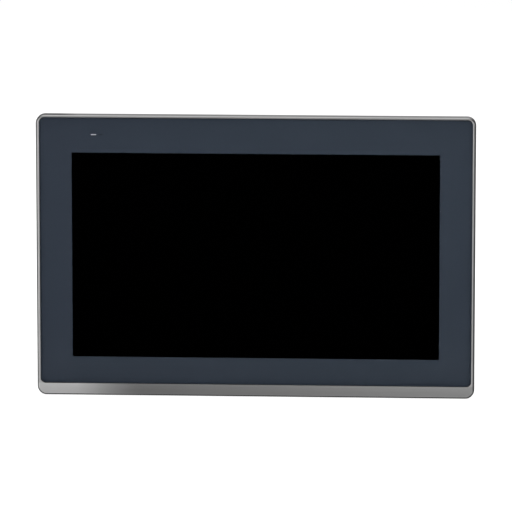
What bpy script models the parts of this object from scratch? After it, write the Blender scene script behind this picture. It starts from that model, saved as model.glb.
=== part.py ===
"""A 15.6 inch panel-mount operator touch panel, as an assembly of separate solids.

The frame: X to the right as the operator sees it, Y into the cabinet, Z up.
The origin is the centre of the picture, on the front surface of the cover glass.
Every dimension below is in millimetres, and MM turns it into Blender's metres.
"""

import math

import bmesh
import bpy
from mathutils import Matrix, Quaternion, Vector

MM = 0.001
GAP = 0.3  # between pieces that lie on or in one another
GRID = 0.0001  # corners are rounded to this, so that faces meant to lie in one plane do

# ---- driving dimensions ----------------------------------------------------
PICTURE = (344.2, 193.5)  # active area of a 15.6 inch 16:9 display
BEZEL = (410.6, 265.8)
BEZEL_CORNER = 8.5
BEZEL_FRONT, SEAT = -0.4, 7.6  # the rim stands a little proud of the glass; SEAT is its back face
RIM_EDGE_ROUND = 1.4
GLASS_HALF_WIDTH, GLASS_BOTTOM, GLASS_TOP = 202.2, -121.7, 130.0
GLASS_CORNER, GLASS_THICK = 5.0, 2.0
FILM_THICK, SEAL_THICK = 0.3, 0.8
LCD = (363.8, 215.9)
LCD_FRONT, LCD_BACK = 3.0, 12.2
CHASSIS = (390.0, 246.0)
CHASSIS_BACK, SHEET = 28.0, 1.2
RIB_BACK = 13.5  # the bezel's rib that the chassis slides over and is screwed to
GASKET_BACK = 8.8
MAX_PANEL = 6.0  # thickest cabinet panel that the clamps reach round
COVER_HALF_WIDTH, COVER_BOTTOM, COVER_TOP, COVER_BACK = 105.0, -85.0, 75.0, 62.0
COVER_WALL = 1.5
BOARD_FRONT, BOARD_THICK = 40.0, 1.6
BOARD_BACK = BOARD_FRONT + BOARD_THICK
LED_CENTRE, LED_BAR = (-151.4, 114.15), (5.0, 1.1)
FLEX_X, FLEX_Z, FLEX_THICK = (60.0, 92.0), -114.2, 0.4
CLAMP_REACH = 3.8  # from the chassis wall out to the clamp screw's axis
CLAMP_PLACES = {  # name: (x, z, turn about Y in degrees) on the chassis wall
    "top_left": (-120.0, CHASSIS[1] / 2, 0.0),
    "top_right": (120.0, CHASSIS[1] / 2, 0.0),
    "right": (CHASSIS[0] / 2, 0.0, 90.0),
    "bottom_right": (120.0, -CHASSIS[1] / 2, 180.0),
    "bottom_left": (-120.0, -CHASSIS[1] / 2, 180.0),
    "left": (-CHASSIS[0] / 2, 0.0, 270.0),
}
CHASSIS_SCREW_X, CHASSIS_SCREW_Y = 60.0, 10.6
COVER_EAR = (109.2, -10.0)
STANDOFFS = [(x, z) for x in (-94.0, 94.0) for z in (-74.0, 64.0)]
SINK_X, SINK_Z = (-60.0, 20.0), (-28.0, 36.0)
CELL_CENTRE, CELL_RADIUS = (70.0, 30.0), 10.0
CARD_Z = (-59.0, -35.0)
POLE_PITCH, POLES_X, TERMINAL_Z = 5.08, 81.0, -92.0

# colour, roughness, metallic
MATERIALS = {
    "bezel_silver": ((0.45, 0.45, 0.45), 0.32, 1.0),
    "cover_glass": ((0.02, 0.022, 0.025), 0.05, 0.0),
    "border_print": ((0.032, 0.041, 0.056), 0.35, 0.0),
    "seal_foam": ((0.02, 0.02, 0.02), 0.9, 0.0),
    "led_lens": ((0.8, 0.82, 0.8), 0.3, 0.0),
    "gasket_rubber": ((0.03, 0.03, 0.032), 0.75, 0.0),
    "lcd_black": ((0.004, 0.004, 0.005), 0.2, 0.0),
    "lcd_metal": ((0.55, 0.56, 0.57), 0.35, 1.0),
    "sheet_steel": ((0.58, 0.59, 0.6), 0.38, 1.0),
    "cover_plastic": ((0.035, 0.037, 0.04), 0.55, 0.0),
    "sink_aluminium": ((0.6, 0.61, 0.62), 0.4, 1.0),
    "board_green": ((0.01, 0.08, 0.035), 0.45, 0.0),
    "connector_black": ((0.015, 0.015, 0.016), 0.5, 0.0),
    "connector_metal": ((0.62, 0.62, 0.6), 0.25, 1.0),
    "terminal_green": ((0.02, 0.22, 0.07), 0.5, 0.0),
    "screw_steel": ((0.6, 0.6, 0.58), 0.3, 1.0),
    "flex_amber": ((0.45, 0.2, 0.03), 0.35, 0.0),
    "cable_black": ((0.02, 0.02, 0.02), 0.6, 0.0),
    "card_blue": ((0.02, 0.04, 0.12), 0.5, 0.0),
    "button_grey": ((0.3, 0.31, 0.32), 0.5, 0.0),
    "pad_plastic": ((0.04, 0.04, 0.04), 0.6, 0.0),
}


# ---- shapes: each is a bmesh, given and placed in millimetres ---------------
def block(low, high, radius=0.0, along="Y", steps=4):
    """A box between two corners. The four edges that run along one axis can be rounded."""
    low, high = Vector(low) * MM, Vector(high) * MM
    shape = bmesh.new()
    place = Matrix.Translation((low + high) / 2) @ Matrix.Diagonal((*(high - low), 1))
    bmesh.ops.create_cube(shape, size=1.0, matrix=place)
    if radius:
        axis = "XYZ".index(along)
        edges = [e for e in shape.edges if abs((e.verts[0].co - e.verts[1].co)[axis]) > 1e-6]
        bmesh.ops.bevel(shape, geom=edges, offset=radius * MM, segments=steps, profile=0.5, affect="EDGES")
    return shape


def plate(half_width, bottom, top, front, back, radius=0.0, steps=4):
    """A block that is symmetric in X, from bottom to top in Z and front to back in Y."""
    return block((-half_width, front, bottom), (half_width, back, top), radius, "Y", steps)


def rod(start, end, radius, sides=16):
    """A cylinder from one point to another."""
    start, end = Vector(start) * MM, Vector(end) * MM
    turn = (end - start).to_track_quat("Z", "Y").to_matrix().to_4x4()
    shape = bmesh.new()
    bmesh.ops.create_cone(
        shape, cap_ends=True, segments=sides, radius1=radius * MM, radius2=radius * MM,
        depth=(end - start).length, matrix=Matrix.Translation((start + end) / 2) @ turn,
    )
    return shape


def turned(profile, sides=16):
    """A body turned about Z. The profile runs from the top of the axis, down the outside, to its foot."""
    points = [(radius * MM, 0.0, height * MM) for radius, height in profile]
    mesh = bpy.data.meshes.new("profile")
    mesh.from_pydata(points, [(i, i + 1) for i in range(len(points) - 1)], [])
    obj = bpy.data.objects.new("profile", mesh)
    bpy.data.collections["cutters"].objects.link(obj)
    screw = obj.modifiers.new("turn", "SCREW")
    screw.steps = screw.render_steps = sides
    screw.use_merge_vertices = True
    screw.merge_threshold = 0.00005
    return evaluated(obj)


def together(shapes):
    """Shapes that don't touch, as one shape."""
    joined = bmesh.new()
    for shape in shapes:
        mesh = bpy.data.meshes.new("piece")
        shape.to_mesh(mesh)
        shape.free()
        joined.from_mesh(mesh)
        bpy.data.meshes.remove(mesh)
    return joined


def moved(shape, matrix):
    bmesh.ops.transform(shape, matrix=matrix, verts=shape.verts)
    return shape


def shift(x=0.0, y=0.0, z=0.0):
    return Matrix.Translation(Vector((x, y, z)) * MM)


def on_grid(shape):
    for vertex in shape.verts:
        vertex.co = [round(c / MM / GRID) * GRID * MM for c in vertex.co]
    return shape


def scratch_object(shape):
    on_grid(shape)
    mesh = bpy.data.meshes.new("scratch")
    shape.to_mesh(mesh)
    shape.free()
    obj = bpy.data.objects.new("scratch", mesh)
    obj.display_type = "WIRE"
    bpy.data.collections["cutters"].objects.link(obj)
    return obj


def evaluated(obj):
    """The object's shape with its modifiers applied. The object is removed."""
    graph = bpy.context.evaluated_depsgraph_get()
    mesh = bpy.data.meshes.new_from_object(obj.evaluated_get(graph))
    shape = bmesh.new()
    shape.from_mesh(mesh)
    bpy.data.meshes.remove(mesh)
    source = obj.data
    bpy.data.objects.remove(obj)
    bpy.data.meshes.remove(source)
    return shape


def boolean(shape, tool, operation):
    target, cutter = scratch_object(shape), scratch_object(tool)
    modifier = target.modifiers.new("boolean", "BOOLEAN")
    modifier.operation = operation
    modifier.solver = "EXACT"
    modifier.object = cutter
    result = on_grid(evaluated(target))
    mesh = cutter.data
    bpy.data.objects.remove(cutter)
    bpy.data.meshes.remove(mesh)
    bmesh.ops.remove_doubles(result, verts=result.verts, dist=5 * GRID * MM)
    bmesh.ops.dissolve_limit(result, angle_limit=math.radians(0.05), verts=result.verts, edges=result.edges)
    return result


def joined(shape, *others):
    for other in others:
        shape = boolean(shape, other, "UNION")
    return shape


def cut(shape, *tools):
    for tool in tools:
        shape = boolean(shape, tool, "DIFFERENCE")
    return shape


# ---- nodes -----------------------------------------------------------------
def make_material(name):
    colour, roughness, metallic = MATERIALS[name]
    material = bpy.data.materials.new(name)
    material.use_nodes = True
    shader = material.node_tree.nodes["Principled BSDF"]
    shader.inputs["Base Color"].default_value = (*colour, 1.0)
    shader.inputs["Roughness"].default_value = roughness
    shader.inputs["Metallic"].default_value = metallic
    return material


def mesh_of(shape, name, material, pivot=(0.0, 0.0, 0.0)):
    """The shape as a mesh whose zero is at the pivot."""
    moved(shape, shift(*(-c for c in pivot)))
    mesh = bpy.data.meshes.new(name)
    shape.to_mesh(mesh)
    shape.free()
    mesh.materials.append(bpy.data.materials.get(material) or make_material(material))
    mesh.shade_smooth()
    mesh.set_sharp_from_angle(angle=math.radians(35))
    return mesh


def node(name, shape, material, pivot=(0.0, 0.0, 0.0), parent=None):
    """A named object. A moving piece's pivot lies on its joint's axis, and becomes the object's origin."""
    obj = bpy.data.objects.new(name, mesh_of(shape, name, material, pivot))
    obj.location = Vector(pivot) * MM
    bpy.data.collections["operator_panel"].objects.link(obj)
    if parent:
        obj.parent = parent
        obj.matrix_parent_inverse = parent.matrix_world.inverted()
    return obj


def placed_copy(name, mesh, place, turn):
    obj = bpy.data.objects.new(name, mesh)
    obj.location = Vector(place) * MM
    obj.rotation_mode = "QUATERNION"
    obj.rotation_quaternion = turn
    bpy.data.collections["operator_panel"].objects.link(obj)
    return obj


def pan_head_screw(shank_radius, shank_length, head_radius, head_height, sides=12):
    """A cross-recessed screw along Z, with its head above zero and its shank below."""
    shape = turned([
        (0.0, head_height),
        (head_radius * 0.7, head_height),
        (head_radius, head_height * 0.55),
        (head_radius, 0.0),
        (shank_radius, 0.0),
        (shank_radius, -shank_length + 0.5),
        (shank_radius - 0.5, -shank_length),
        (0.0, -shank_length),
    ], sides)
    wide, narrow, floor = head_radius * 0.55, head_radius * 0.13, head_height * 0.4
    lift = head_height + 1.0
    cross = joined(
        block((-wide, -narrow, floor), (wide, narrow, lift)),
        block((-narrow, -wide, floor), (narrow, wide, lift)),
    )
    return cut(shape, cross)


# ---- front -----------------------------------------------------------------
def bezel_shape():
    half_width, half_height = BEZEL[0] / 2, BEZEL[1] / 2
    shape = plate(half_width, -half_height, half_height, BEZEL_FRONT, SEAT, BEZEL_CORNER, 6)
    rim = [e for e in shape.edges if all(v.co.y < (BEZEL_FRONT + 0.01) * MM for v in e.verts)]
    bmesh.ops.bevel(shape, geom=rim, offset=RIM_EDGE_ROUND * MM, segments=3, profile=0.5, affect="EDGES")
    rib_half_width = CHASSIS[0] / 2 - SHEET - 0.4
    rib_half_height = CHASSIS[1] / 2 - SHEET - 0.4
    shape = joined(shape, plate(rib_half_width, -rib_half_height, rib_half_height, SEAT - 1, RIB_BACK, 2))
    rib_wall, floor_sink = 2.5, 0.2
    inside = plate(rib_half_width - rib_wall, rib_wall - rib_half_height, rib_half_height - rib_wall,
                   SEAT - floor_sink, RIB_BACK + 1, 1)
    pocket = plate(GLASS_HALF_WIDTH + GAP, GLASS_BOTTOM - GAP, GLASS_TOP + GAP, BEZEL_FRONT - 1, 4.0,
                   GLASS_CORNER + GAP, 6)
    lcd_opening = plate(LCD[0] / 2 + 1.1, -LCD[1] / 2 - 1.1, LCD[1] / 2 + 1.1, 3.0, SEAT + 1, 1)
    shape = cut(shape, inside, pocket, lcd_opening, gasket_ring(GAP, 6.0, SEAT + 1))
    led_x, led_z = LED_CENTRE
    led_hole = block((led_x - 3.8, 3.0, led_z - 1.8), (led_x + 3.8, SEAT + 1, led_z + 1.8))
    flex_slot = block((FLEX_X[0] - 1, 3.0, FLEX_Z - 0.8), (FLEX_X[1] + 1, SEAT + 1, FLEX_Z + 0.8))
    screw_bores = [
        rod((x, CHASSIS_SCREW_Y, side * 116.0), (x, CHASSIS_SCREW_Y, side * 124.0), 1.8, 12)
        for x in (-CHASSIS_SCREW_X, CHASSIS_SCREW_X) for side in (-1, 1)
    ]
    return cut(shape, led_hole, flex_slot, together(screw_bores))


def gasket_ring(grow, front, back):
    """The panel seal's ring, or its groove when grow is above zero."""
    outer = plate(202.3 + grow, -129.9 - grow, 129.9 + grow, front, back, 6)
    inner = plate(197.5 - grow, -125.3 + grow, 125.3 - grow, front - 1, back + 1, 4)
    return cut(outer, inner)


def film_shape():
    outer = plate(GLASS_HALF_WIDTH - GAP, GLASS_BOTTOM + GAP, GLASS_TOP - GAP, GLASS_THICK + GAP,
                  GLASS_THICK + GAP + FILM_THICK, GLASS_CORNER - GAP, 6)
    window = plate(PICTURE[0] / 2, -PICTURE[1] / 2, PICTURE[1] / 2, 1.0, 4.0, 0.8, 2)
    return cut(outer, window, led_opening(0.3))


def seal_shape():
    front = GLASS_THICK + 2 * GAP + FILM_THICK
    outer = plate(GLASS_HALF_WIDTH - 0.7, GLASS_BOTTOM + 0.7, GLASS_TOP - 0.7, front, front + SEAL_THICK, 4)
    inner = plate(184.5, -110.5, 110.5, 1.0, 6.0, 2)
    flex_room = 0.6
    flex_opening = block((FLEX_X[0] - 1, 1.0, FLEX_Z - flex_room),
                         (FLEX_X[1] + 1, 6.0, FLEX_Z + FLEX_THICK + flex_room))
    return cut(outer, inner, led_opening(0.6), flex_opening)


def led_opening(room):
    """The opening behind the glass for the status light's lens."""
    led_x, led_z = LED_CENTRE
    half_x, half_z = LED_BAR[0] / 2 + room, LED_BAR[1] / 2 + room
    return block((led_x - half_x, 1.0, led_z - half_z), (led_x + half_x, 6.0, led_z + half_z))


def lens_shape():
    led_x, led_z = LED_CENTRE
    half_x, half_z = LED_BAR[0] / 2, LED_BAR[1] / 2
    bar = block((led_x - half_x, GLASS_THICK + GAP, led_z - half_z), (led_x + half_x, 5.0, led_z + half_z),
                0.5, "Y", 2)
    return joined(bar, block((led_x - 3.4, 4.3, led_z - 1.4), (led_x + 3.4, 11.0, led_z + 1.4)))


def flex_shape():
    """The touch sensor's tail. It leaves from behind the printed border."""
    low_x, high_x = FLEX_X
    front = GLASS_THICK + 2 * GAP + FILM_THICK
    rise = block((low_x, front, FLEX_Z), (high_x, 21.0, FLEX_Z + FLEX_THICK))
    return joined(rise, block((low_x, 20.6, FLEX_Z), (high_x, 21.0, -62.0)))


def build_front():
    node("front_bezel", bezel_shape(), "bezel_silver")
    node("touch_glass", plate(GLASS_HALF_WIDTH, GLASS_BOTTOM, GLASS_TOP, 0.0, GLASS_THICK, GLASS_CORNER, 6),
         "cover_glass")
    node("border_film", film_shape(), "border_print")
    node("touch_seal", seal_shape(), "seal_foam")
    node("status_led_lens", lens_shape(), "led_lens")
    node("panel_gasket", gasket_ring(0.0, 6.3, GASKET_BACK), "gasket_rubber")
    node("touch_flex", flex_shape(), "flex_amber")


# ---- display module --------------------------------------------------------
def build_display():
    half_width, half_height = LCD[0] / 2, LCD[1] / 2
    wall, lip = 0.8, 7.5
    frame = cut(
        plate(half_width, -half_height, half_height, LCD_FRONT, LCD_BACK, 1.5, 2),
        plate(half_width - wall, wall - half_height, half_height - wall, LCD_FRONT + wall, LCD_BACK + 1),
        plate(half_width - lip, lip + 1.5 - half_height, half_height - lip - 1.5, LCD_FRONT - 1, LCD_BACK),
    )
    node("lcd_frame", frame, "lcd_metal")
    cell_front = LCD_FRONT + wall + GAP
    node("lcd_cell", plate(half_width - 1.6, 1.6 - half_height, half_height - 1.6, cell_front, cell_front + 1.8),
         "lcd_black")
    pan_front = cell_front + 1.8 + GAP
    pan = plate(half_width - 1.4, 1.4 - half_height, half_height - 1.4, pan_front, LCD_BACK - 0.6, 1, 2)
    beads = [plate(150.0, z - 1.5, z + 1.5, LCD_BACK - 1.5, LCD_BACK - 0.1) for z in (-40.0, 10.0, 60.0)]
    node("backlight_unit", joined(pan, *beads), "lcd_metal")
    board = block((-150, LCD_BACK + GAP, -104), (150, LCD_BACK + 1.5, -84), 1.5, "Y", 2)
    chip_back = LCD_BACK + 3.0
    chips = [block((x - 6, LCD_BACK + 1.0, -99), (x + 6, chip_back, -91)) for x in (-90, 10, 95)]
    socket = block((-52, LCD_BACK + 1.0, -93), (-28, chip_back + 1.0, -86))
    node("tcon_board", joined(board, *chips, socket), "board_green")
    for name, side in (("lcd_bracket_left", -1), ("lcd_bracket_right", 1)):
        strip = joined(
            bracket_leg(side, 172.0, 185.0, LCD_BACK + GAP, LCD_BACK + 1.3),
            bracket_leg(side, 184.0, 185.0, SEAT + 0.1, LCD_BACK + 1.3),
            bracket_leg(side, 184.0, 190.4, SEAT + 0.1, SEAT + 1.1),
        )
        node(name, strip, "sheet_steel")


def bracket_leg(side, inner, outer, front, back):
    """One leg of the Z-section strip that holds the display's long end, on the left or the right."""
    low, high = sorted((side * inner, side * outer))
    return block((low, front, -80.0), (high, back, 80.0))


# ---- chassis ---------------------------------------------------------------
def slot_row(count, pitch, half_width, z_low, z_high, front, back):
    """A row of upright ventilation slots through a wall that faces Y."""
    first = -(count - 1) * pitch / 2
    return together([
        block((first + i * pitch - half_width, front, z_low), (first + i * pitch + half_width, back, z_high))
        for i in range(count)
    ])


def chassis_shape():
    half_width, half_height = CHASSIS[0] / 2, CHASSIS[1] / 2
    inner_back = CHASSIS_BACK - SHEET
    shape = cut(
        plate(half_width, -half_height, half_height, SEAT + GAP, CHASSIS_BACK, 2.5, 3),
        plate(half_width - SHEET, SHEET - half_height, half_height - SHEET, 0.0, inner_back, 1.3, 2),
    )
    posts = [rod((x, inner_back + 0.4, z), (x, BOARD_FRONT - GAP, z), 3.0, 12) for x, z in STANDOFFS]
    pins = [rod((x, BOARD_FRONT - 2, z), (x, BOARD_BACK + 1.2, z), 1.3, 8) for x, z in STANDOFFS]
    shape = joined(shape, together(posts), together(pins))
    openings = [block((-70, 20, -50), (70, 35, 45), 3, "Y", 2)]
    for side in (-1, 1):
        low, high = sorted((side * 90.0, side * 112.0))
        openings.append(slot_row(20, 15.0, 1.5, low, high, 20, 35))
    clamp_slots = [moved(block((-6, 19.7, -4), (6, 24.0, 4)), clamp_matrix(p)) for p in CLAMP_PLACES.values()]
    screw_holes = [
        rod((x, CHASSIS_SCREW_Y, side * 120.0), (x, CHASSIS_SCREW_Y, side * 126.0), 1.8, 12)
        for x in (-CHASSIS_SCREW_X, CHASSIS_SCREW_X) for side in (-1, 1)
    ]
    rear_holes = [rod((side * COVER_EAR[0], 20, COVER_EAR[1]), (side * COVER_EAR[0], 35, COVER_EAR[1]), 1.8, 12)
                  for side in (-1, 1)]
    rear_holes.append(rod((128, 20, -70), (128, 35, -70), 2.3, 12))
    return cut(shape, *openings, together(clamp_slots), together(screw_holes), together(rear_holes))


def build_chassis():
    node("rear_chassis", chassis_shape(), "sheet_steel")
    earth = pan_head_screw(2.0, 8.0, 4.2, 3.0)
    washer = rod((0, 0, -0.1), (0, 0, 1.0), 5.4, 16)
    to_back = Vector((0, 1, 0)).to_track_quat("Z", "Y")
    mesh = mesh_of(joined(earth, washer), "earth_screw", "screw_steel")
    placed_copy("earth_screw", mesh, (128.0, CHASSIS_BACK + GAP + 0.1, -70.0), to_back)
    build_cable()


def build_cable():
    """The display's cable, from its timing board through the chassis window to the main board."""
    route = [
        (-40, LCD_BACK + 4.4, -89.5),
        (-40, LCD_BACK + 7, -89.5),
        (-40, 22, -84),
        (-38, 22, -60),
        (-36, 23.5, -46),
        (-32, 30, -38),
        (-30, 36.5, -30),
        (-30, BOARD_FRONT - GAP, -30),
    ]
    curve = bpy.data.curves.new("display_cable", "CURVE")
    curve.dimensions = "3D"
    curve.bevel_depth = 2.0 * MM
    curve.bevel_resolution = 2
    curve.use_fill_caps = True
    spline = curve.splines.new("POLY")
    spline.points.add(len(route) - 1)
    for point, place in zip(spline.points, route):
        point.co = (*(Vector(place) * MM), 1.0)
    obj = bpy.data.objects.new("display_cable", curve)
    bpy.data.collections["operator_panel"].objects.link(obj)
    curve.materials.append(make_material("cable_black"))


# ---- electronics -----------------------------------------------------------
def build_electronics():
    board = block((-100, BOARD_FRONT, -81), (100, BOARD_BACK, 70), 2, "Y", 2)
    holes = [rod((x, BOARD_FRONT - 1, z), (x, BOARD_BACK + 1, z), 1.6, 8) for x, z in STANDOFFS]
    cpu = block((-32, BOARD_BACK - 0.5, -8), (-8, 44.9, 16))
    chips = [block((x, BOARD_BACK - 0.5, z), (x + 12, BOARD_BACK + 1.3, z + 9))
             for x, z in ((28, -20), (28, -6), (28, 8), (-60, 46), (-40, 46), (40, 50))]
    coils = [block((x, BOARD_BACK - 0.5, -52), (x + 9, BOARD_BACK + 5, -43), 1.5, "Y", 2) for x in (60, 74)]
    cans = [rod((x, BOARD_BACK - 0.5, -36), (x, BOARD_BACK + 9, -36), 4.0, 12) for x in (64, 76, 88)]
    board = joined(cut(board, together(holes)), cpu, together(chips), together(coils), together(cans))
    node("main_board", board, "board_green")

    base = block((SINK_X[0], 45.2, SINK_Z[0]), (SINK_X[1], 49.0, SINK_Z[1]), 1, "Y", 2)
    fin_count, fin = 11, 1.6
    pitch = (SINK_X[1] - SINK_X[0] - fin) / (fin_count - 1)
    fins = together([
        block((SINK_X[0] + i * pitch, 48.0, SINK_Z[0] + 0.5), (SINK_X[0] + i * pitch + fin, 61.2, SINK_Z[1] - 0.5))
        for i in range(fin_count)
    ])
    node("heat_sink", joined(base, fins), "sink_aluminium")

    cell_x, cell_z = CELL_CENTRE
    cell_front = BOARD_BACK + 1.8
    node("coin_cell", rod((cell_x, cell_front, cell_z), (cell_x, cell_front + 3.2, cell_z), CELL_RADIUS, 24),
         "screw_steel")
    holder = cut(
        rod((cell_x, BOARD_BACK + GAP, cell_z), (cell_x, BOARD_BACK + 4.4, cell_z), CELL_RADIUS + 1.8, 24),
        rod((cell_x, cell_front - GAP, cell_z), (cell_x, BOARD_BACK + 9, cell_z), CELL_RADIUS + 0.4, 24),
        block((cell_x - 4, cell_front - GAP, cell_z), (cell_x + 4, BOARD_BACK + 9, cell_z + 20)),
    )
    node("battery_holder", holder, "connector_black")


# ---- rear cover and its doors ------------------------------------------------
CARD_DOOR_Y, CARD_DOOR_Z = (38.0, 52.0), (-69.0, -25.0)
CARD_HINGE = (-106.2, 37.4)  # x, y of the hinge axis, which runs along Z
BATTERY_DOOR_X, BATTERY_DOOR_Z = (53.0, 87.0), (14.0, 46.0)
BATTERY_HINGE = (63.2, 13.4)  # y, z of the hinge axis, which runs along X
BARREL_RADIUS, HINGE_PIN_RADIUS = 1.0, 0.55
# port name: (x low, x high, y low, y high) of the connector's own outline
PORTS = {
    "power_plug": (71.5, 90.5, 43.4, 53.0),
    "serial_shell": (37.5, 55.5, 43.6, 53.4),
    "ethernet_jack_1": (10.0, 26.0, 42.0, 55.5),
    "ethernet_jack_2": (-8.5, 7.5, 42.0, 55.5),
    "usb_ports": (-27.0, -12.5, 42.0, 57.6),
}
SERIAL_STUDS_X, SERIAL_Y = (33.2, 59.8), 48.5
RESET_AT, MODE_AT = (-50.0, 48.0), (-38.0, 48.0)


def cover_shape():
    front = CHASSIS_BACK + GAP
    wall_in = COVER_HALF_WIDTH - COVER_WALL
    shape = plate(COVER_HALF_WIDTH, COVER_BOTTOM, COVER_TOP, front, COVER_BACK, 3, 3)
    back_edges = [e for e in shape.edges if all(v.co.y > (COVER_BACK - 0.01) * MM for v in e.verts)]
    bmesh.ops.bevel(shape, geom=back_edges, offset=1.0 * MM, segments=2, profile=0.5, affect="EDGES")
    ears = [block((side * COVER_EAR[0] - 5, front, COVER_EAR[1] - 8),
                  (side * COVER_EAR[0] + 5, front + 2.0, COVER_EAR[1] + 8), 2, "Y", 2) for side in (-1, 1)]
    lugs = [block((-107.5, 35.9, z - 1.3), (-104.0, 38.9, z + 1.3)) for z in (-70.6, -23.4)]
    lugs += [block((x - 1.3, 61.0, 11.9), (x + 1.3, 64.5, 14.9)) for x in (51.4, 88.6)]
    shape = joined(shape, together(ears), together(lugs))
    shape = cut(shape, plate(wall_in, COVER_BOTTOM + COVER_WALL, COVER_TOP - COVER_WALL, front - 1,
                             COVER_BACK - COVER_WALL, 2, 2))
    window = block((SINK_X[0] - 1.5, 50, SINK_Z[0] - 1.5), (SINK_X[1] + 1.5, 70, SINK_Z[1] + 1.5), 2, "Y", 2)
    battery_opening = block((BATTERY_DOOR_X[0] + 3, 50, BATTERY_DOOR_Z[0] + 3),
                            (BATTERY_DOOR_X[1] - 3, 70, BATTERY_DOOR_Z[1] - 3), 1, "Y", 2)
    card_opening = block((-115, CARD_DOOR_Y[0] + 2, CARD_DOOR_Z[0] + 3), (-95, CARD_DOOR_Y[1] - 2, CARD_DOOR_Z[1] - 3))
    top_vents = together([block((x, 36, 70), (x + 3, 54, 80)) for x in range(-84, 85, 8)])
    back_vents = together([block((x, 55, -66), (x + 2.6, 70, -44)) for x in range(-60, 21, 8)])
    return cut(shape, window, battery_opening, card_opening, top_vents, back_vents, port_openings(),
               together([ear_bore(-1), ear_bore(1)]), hinge_bores())


def ear_bore(side):
    x, z = side * COVER_EAR[0], COVER_EAR[1]
    return rod((x, 20, z), (x, 35, z), 1.8, 12)


def hinge_bores():
    x, y = CARD_HINGE
    back_y, back_z = BATTERY_HINGE
    bore = HINGE_PIN_RADIUS + GAP
    return together([
        rod((x, y, -73), (x, y, -20), bore, 10),
        rod((48, back_y, back_z), (92, back_y, back_z), bore, 10),
    ])


def port_openings():
    room, low, high = 0.4, COVER_BOTTOM - 5, COVER_BOTTOM + COVER_WALL + 1
    holes = [block((x0 - room, y0 - room, low), (x1 + room, y1 + room, high)) for x0, x1, y0, y1 in PORTS.values()]
    for x in SERIAL_STUDS_X:
        holes.append(rod((x, SERIAL_Y, low), (x, SERIAL_Y, high), 2.9, 12))
    holes.append(rod((*RESET_AT, low), (*RESET_AT, high), 1.9, 12))
    mode_x, mode_y = MODE_AT
    holes.append(block((mode_x - 1.6, mode_y - 1.4, low), (mode_x + 4.1, mode_y + 1.4, high)))
    return together(holes)


def card_door_shape():
    x, y = CARD_HINGE
    low_z, high_z = CARD_DOOR_Z
    lid = block((x - 0.5, y, low_z), (-COVER_HALF_WIDTH - GAP, CARD_DOOR_Y[1], high_z), 1.2, "X", 2)
    barrel = rod((x, y, low_z + 0.1), (x, y, high_z - 0.1), BARREL_RADIUS * 0.85, 10)
    pin = rod((x, y, low_z - 2.4), (x, y, high_z + 2.4), HINGE_PIN_RADIUS, 10)
    snap = block((-105.5, CARD_DOOR_Y[1] - 4.2, -50), (-103.2, CARD_DOOR_Y[1] - 3.0, -44))
    grip = block((x - 1.2, CARD_DOOR_Y[1] - 2.0, -53), (x + 0.3, CARD_DOOR_Y[1] - 0.6, -41))
    return joined(lid, barrel, pin, snap, grip)


def battery_door_shape():
    y, z = BATTERY_HINGE
    low_x, high_x = BATTERY_DOOR_X
    lid = block((low_x, COVER_BACK + GAP, z), (high_x, y + 0.5, BATTERY_DOOR_Z[1]), 1.2, "Y", 2)
    barrel = rod((low_x + 0.1, y, z), (high_x - 0.1, y, z), BARREL_RADIUS * 0.85, 10)
    pin = rod((low_x - 2.4, y, z), (high_x + 2.4, y, z), HINGE_PIN_RADIUS, 10)
    snap = block((67, COVER_BACK - 1.8, BATTERY_DOOR_Z[1] - 5.2), (73, COVER_BACK + 0.6, BATTERY_DOOR_Z[1] - 4.0))
    grip = block((64, y, BATTERY_DOOR_Z[1] - 2.4), (76, y + 1.3, BATTERY_DOOR_Z[1] - 1.0))
    return joined(lid, barrel, pin, snap, grip)


def build_cover():
    node("io_cover", cover_shape(), "cover_plastic")
    node("card_door", card_door_shape(), "cover_plastic", (*CARD_HINGE, sum(CARD_DOOR_Z) / 2))
    node("battery_door", battery_door_shape(), "cover_plastic", (sum(BATTERY_DOOR_X) / 2, *BATTERY_HINGE))


# ---- connectors on the cover's lower wall ------------------------------------
def jack_shape(name):
    """A network jack with its mouth facing down, and the notch for the plug's latch on its back side."""
    x0, x1, y0, y1 = PORTS[name]
    mid = (x0 + x1) / 2
    mouth = COVER_BOTTOM - 0.6
    return cut(
        block((x0, y0, mouth), (x1, y1, mouth + 21.0)),
        joined(
            block((mid - 5.9, y0 + 1.8, mouth - 1), (mid + 5.9, y0 + 8.6, mouth + 12.5)),
            block((mid - 3.2, y0 + 8.0, mouth - 1), (mid + 3.2, y0 + 11.6, mouth + 12.5)),
        ),
    )


def usb_shape():
    x0, x1, y0, y1 = PORTS["usb_ports"]
    mid, mouth = (x0 + x1) / 2, COVER_BOTTOM - 0.6
    shape = block((x0, y0, mouth), (x1, y1, mouth + 17.0))
    for low_y in (y0 + 1.3, y1 - 1.3 - 5.4):
        shape = cut(shape, block((mid - 6.3, low_y, mouth - 1), (mid + 6.3, low_y + 5.4, mouth + 12.0)))
        shape = joined(shape, block((mid - 5.5, low_y + 0.7, mouth + 0.8), (mid + 5.5, low_y + 2.5, mouth + 13.0)))
    return shape


def d_outline(x0, x1, y0, y1, low, high):
    """A D-shaped prism along Z: a block whose two ends lean in towards its front side."""
    lean = (y1 - y0) * math.tan(math.radians(10))
    shape = block((x0, y0, low), (x1, y1, high))
    for vertex in shape.verts:
        if vertex.co.y < (y0 + 0.01) * MM:
            vertex.co.x += lean * MM * (1 if vertex.co.x < (x0 + x1) / 2 * MM else -1)
    return shape


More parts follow.
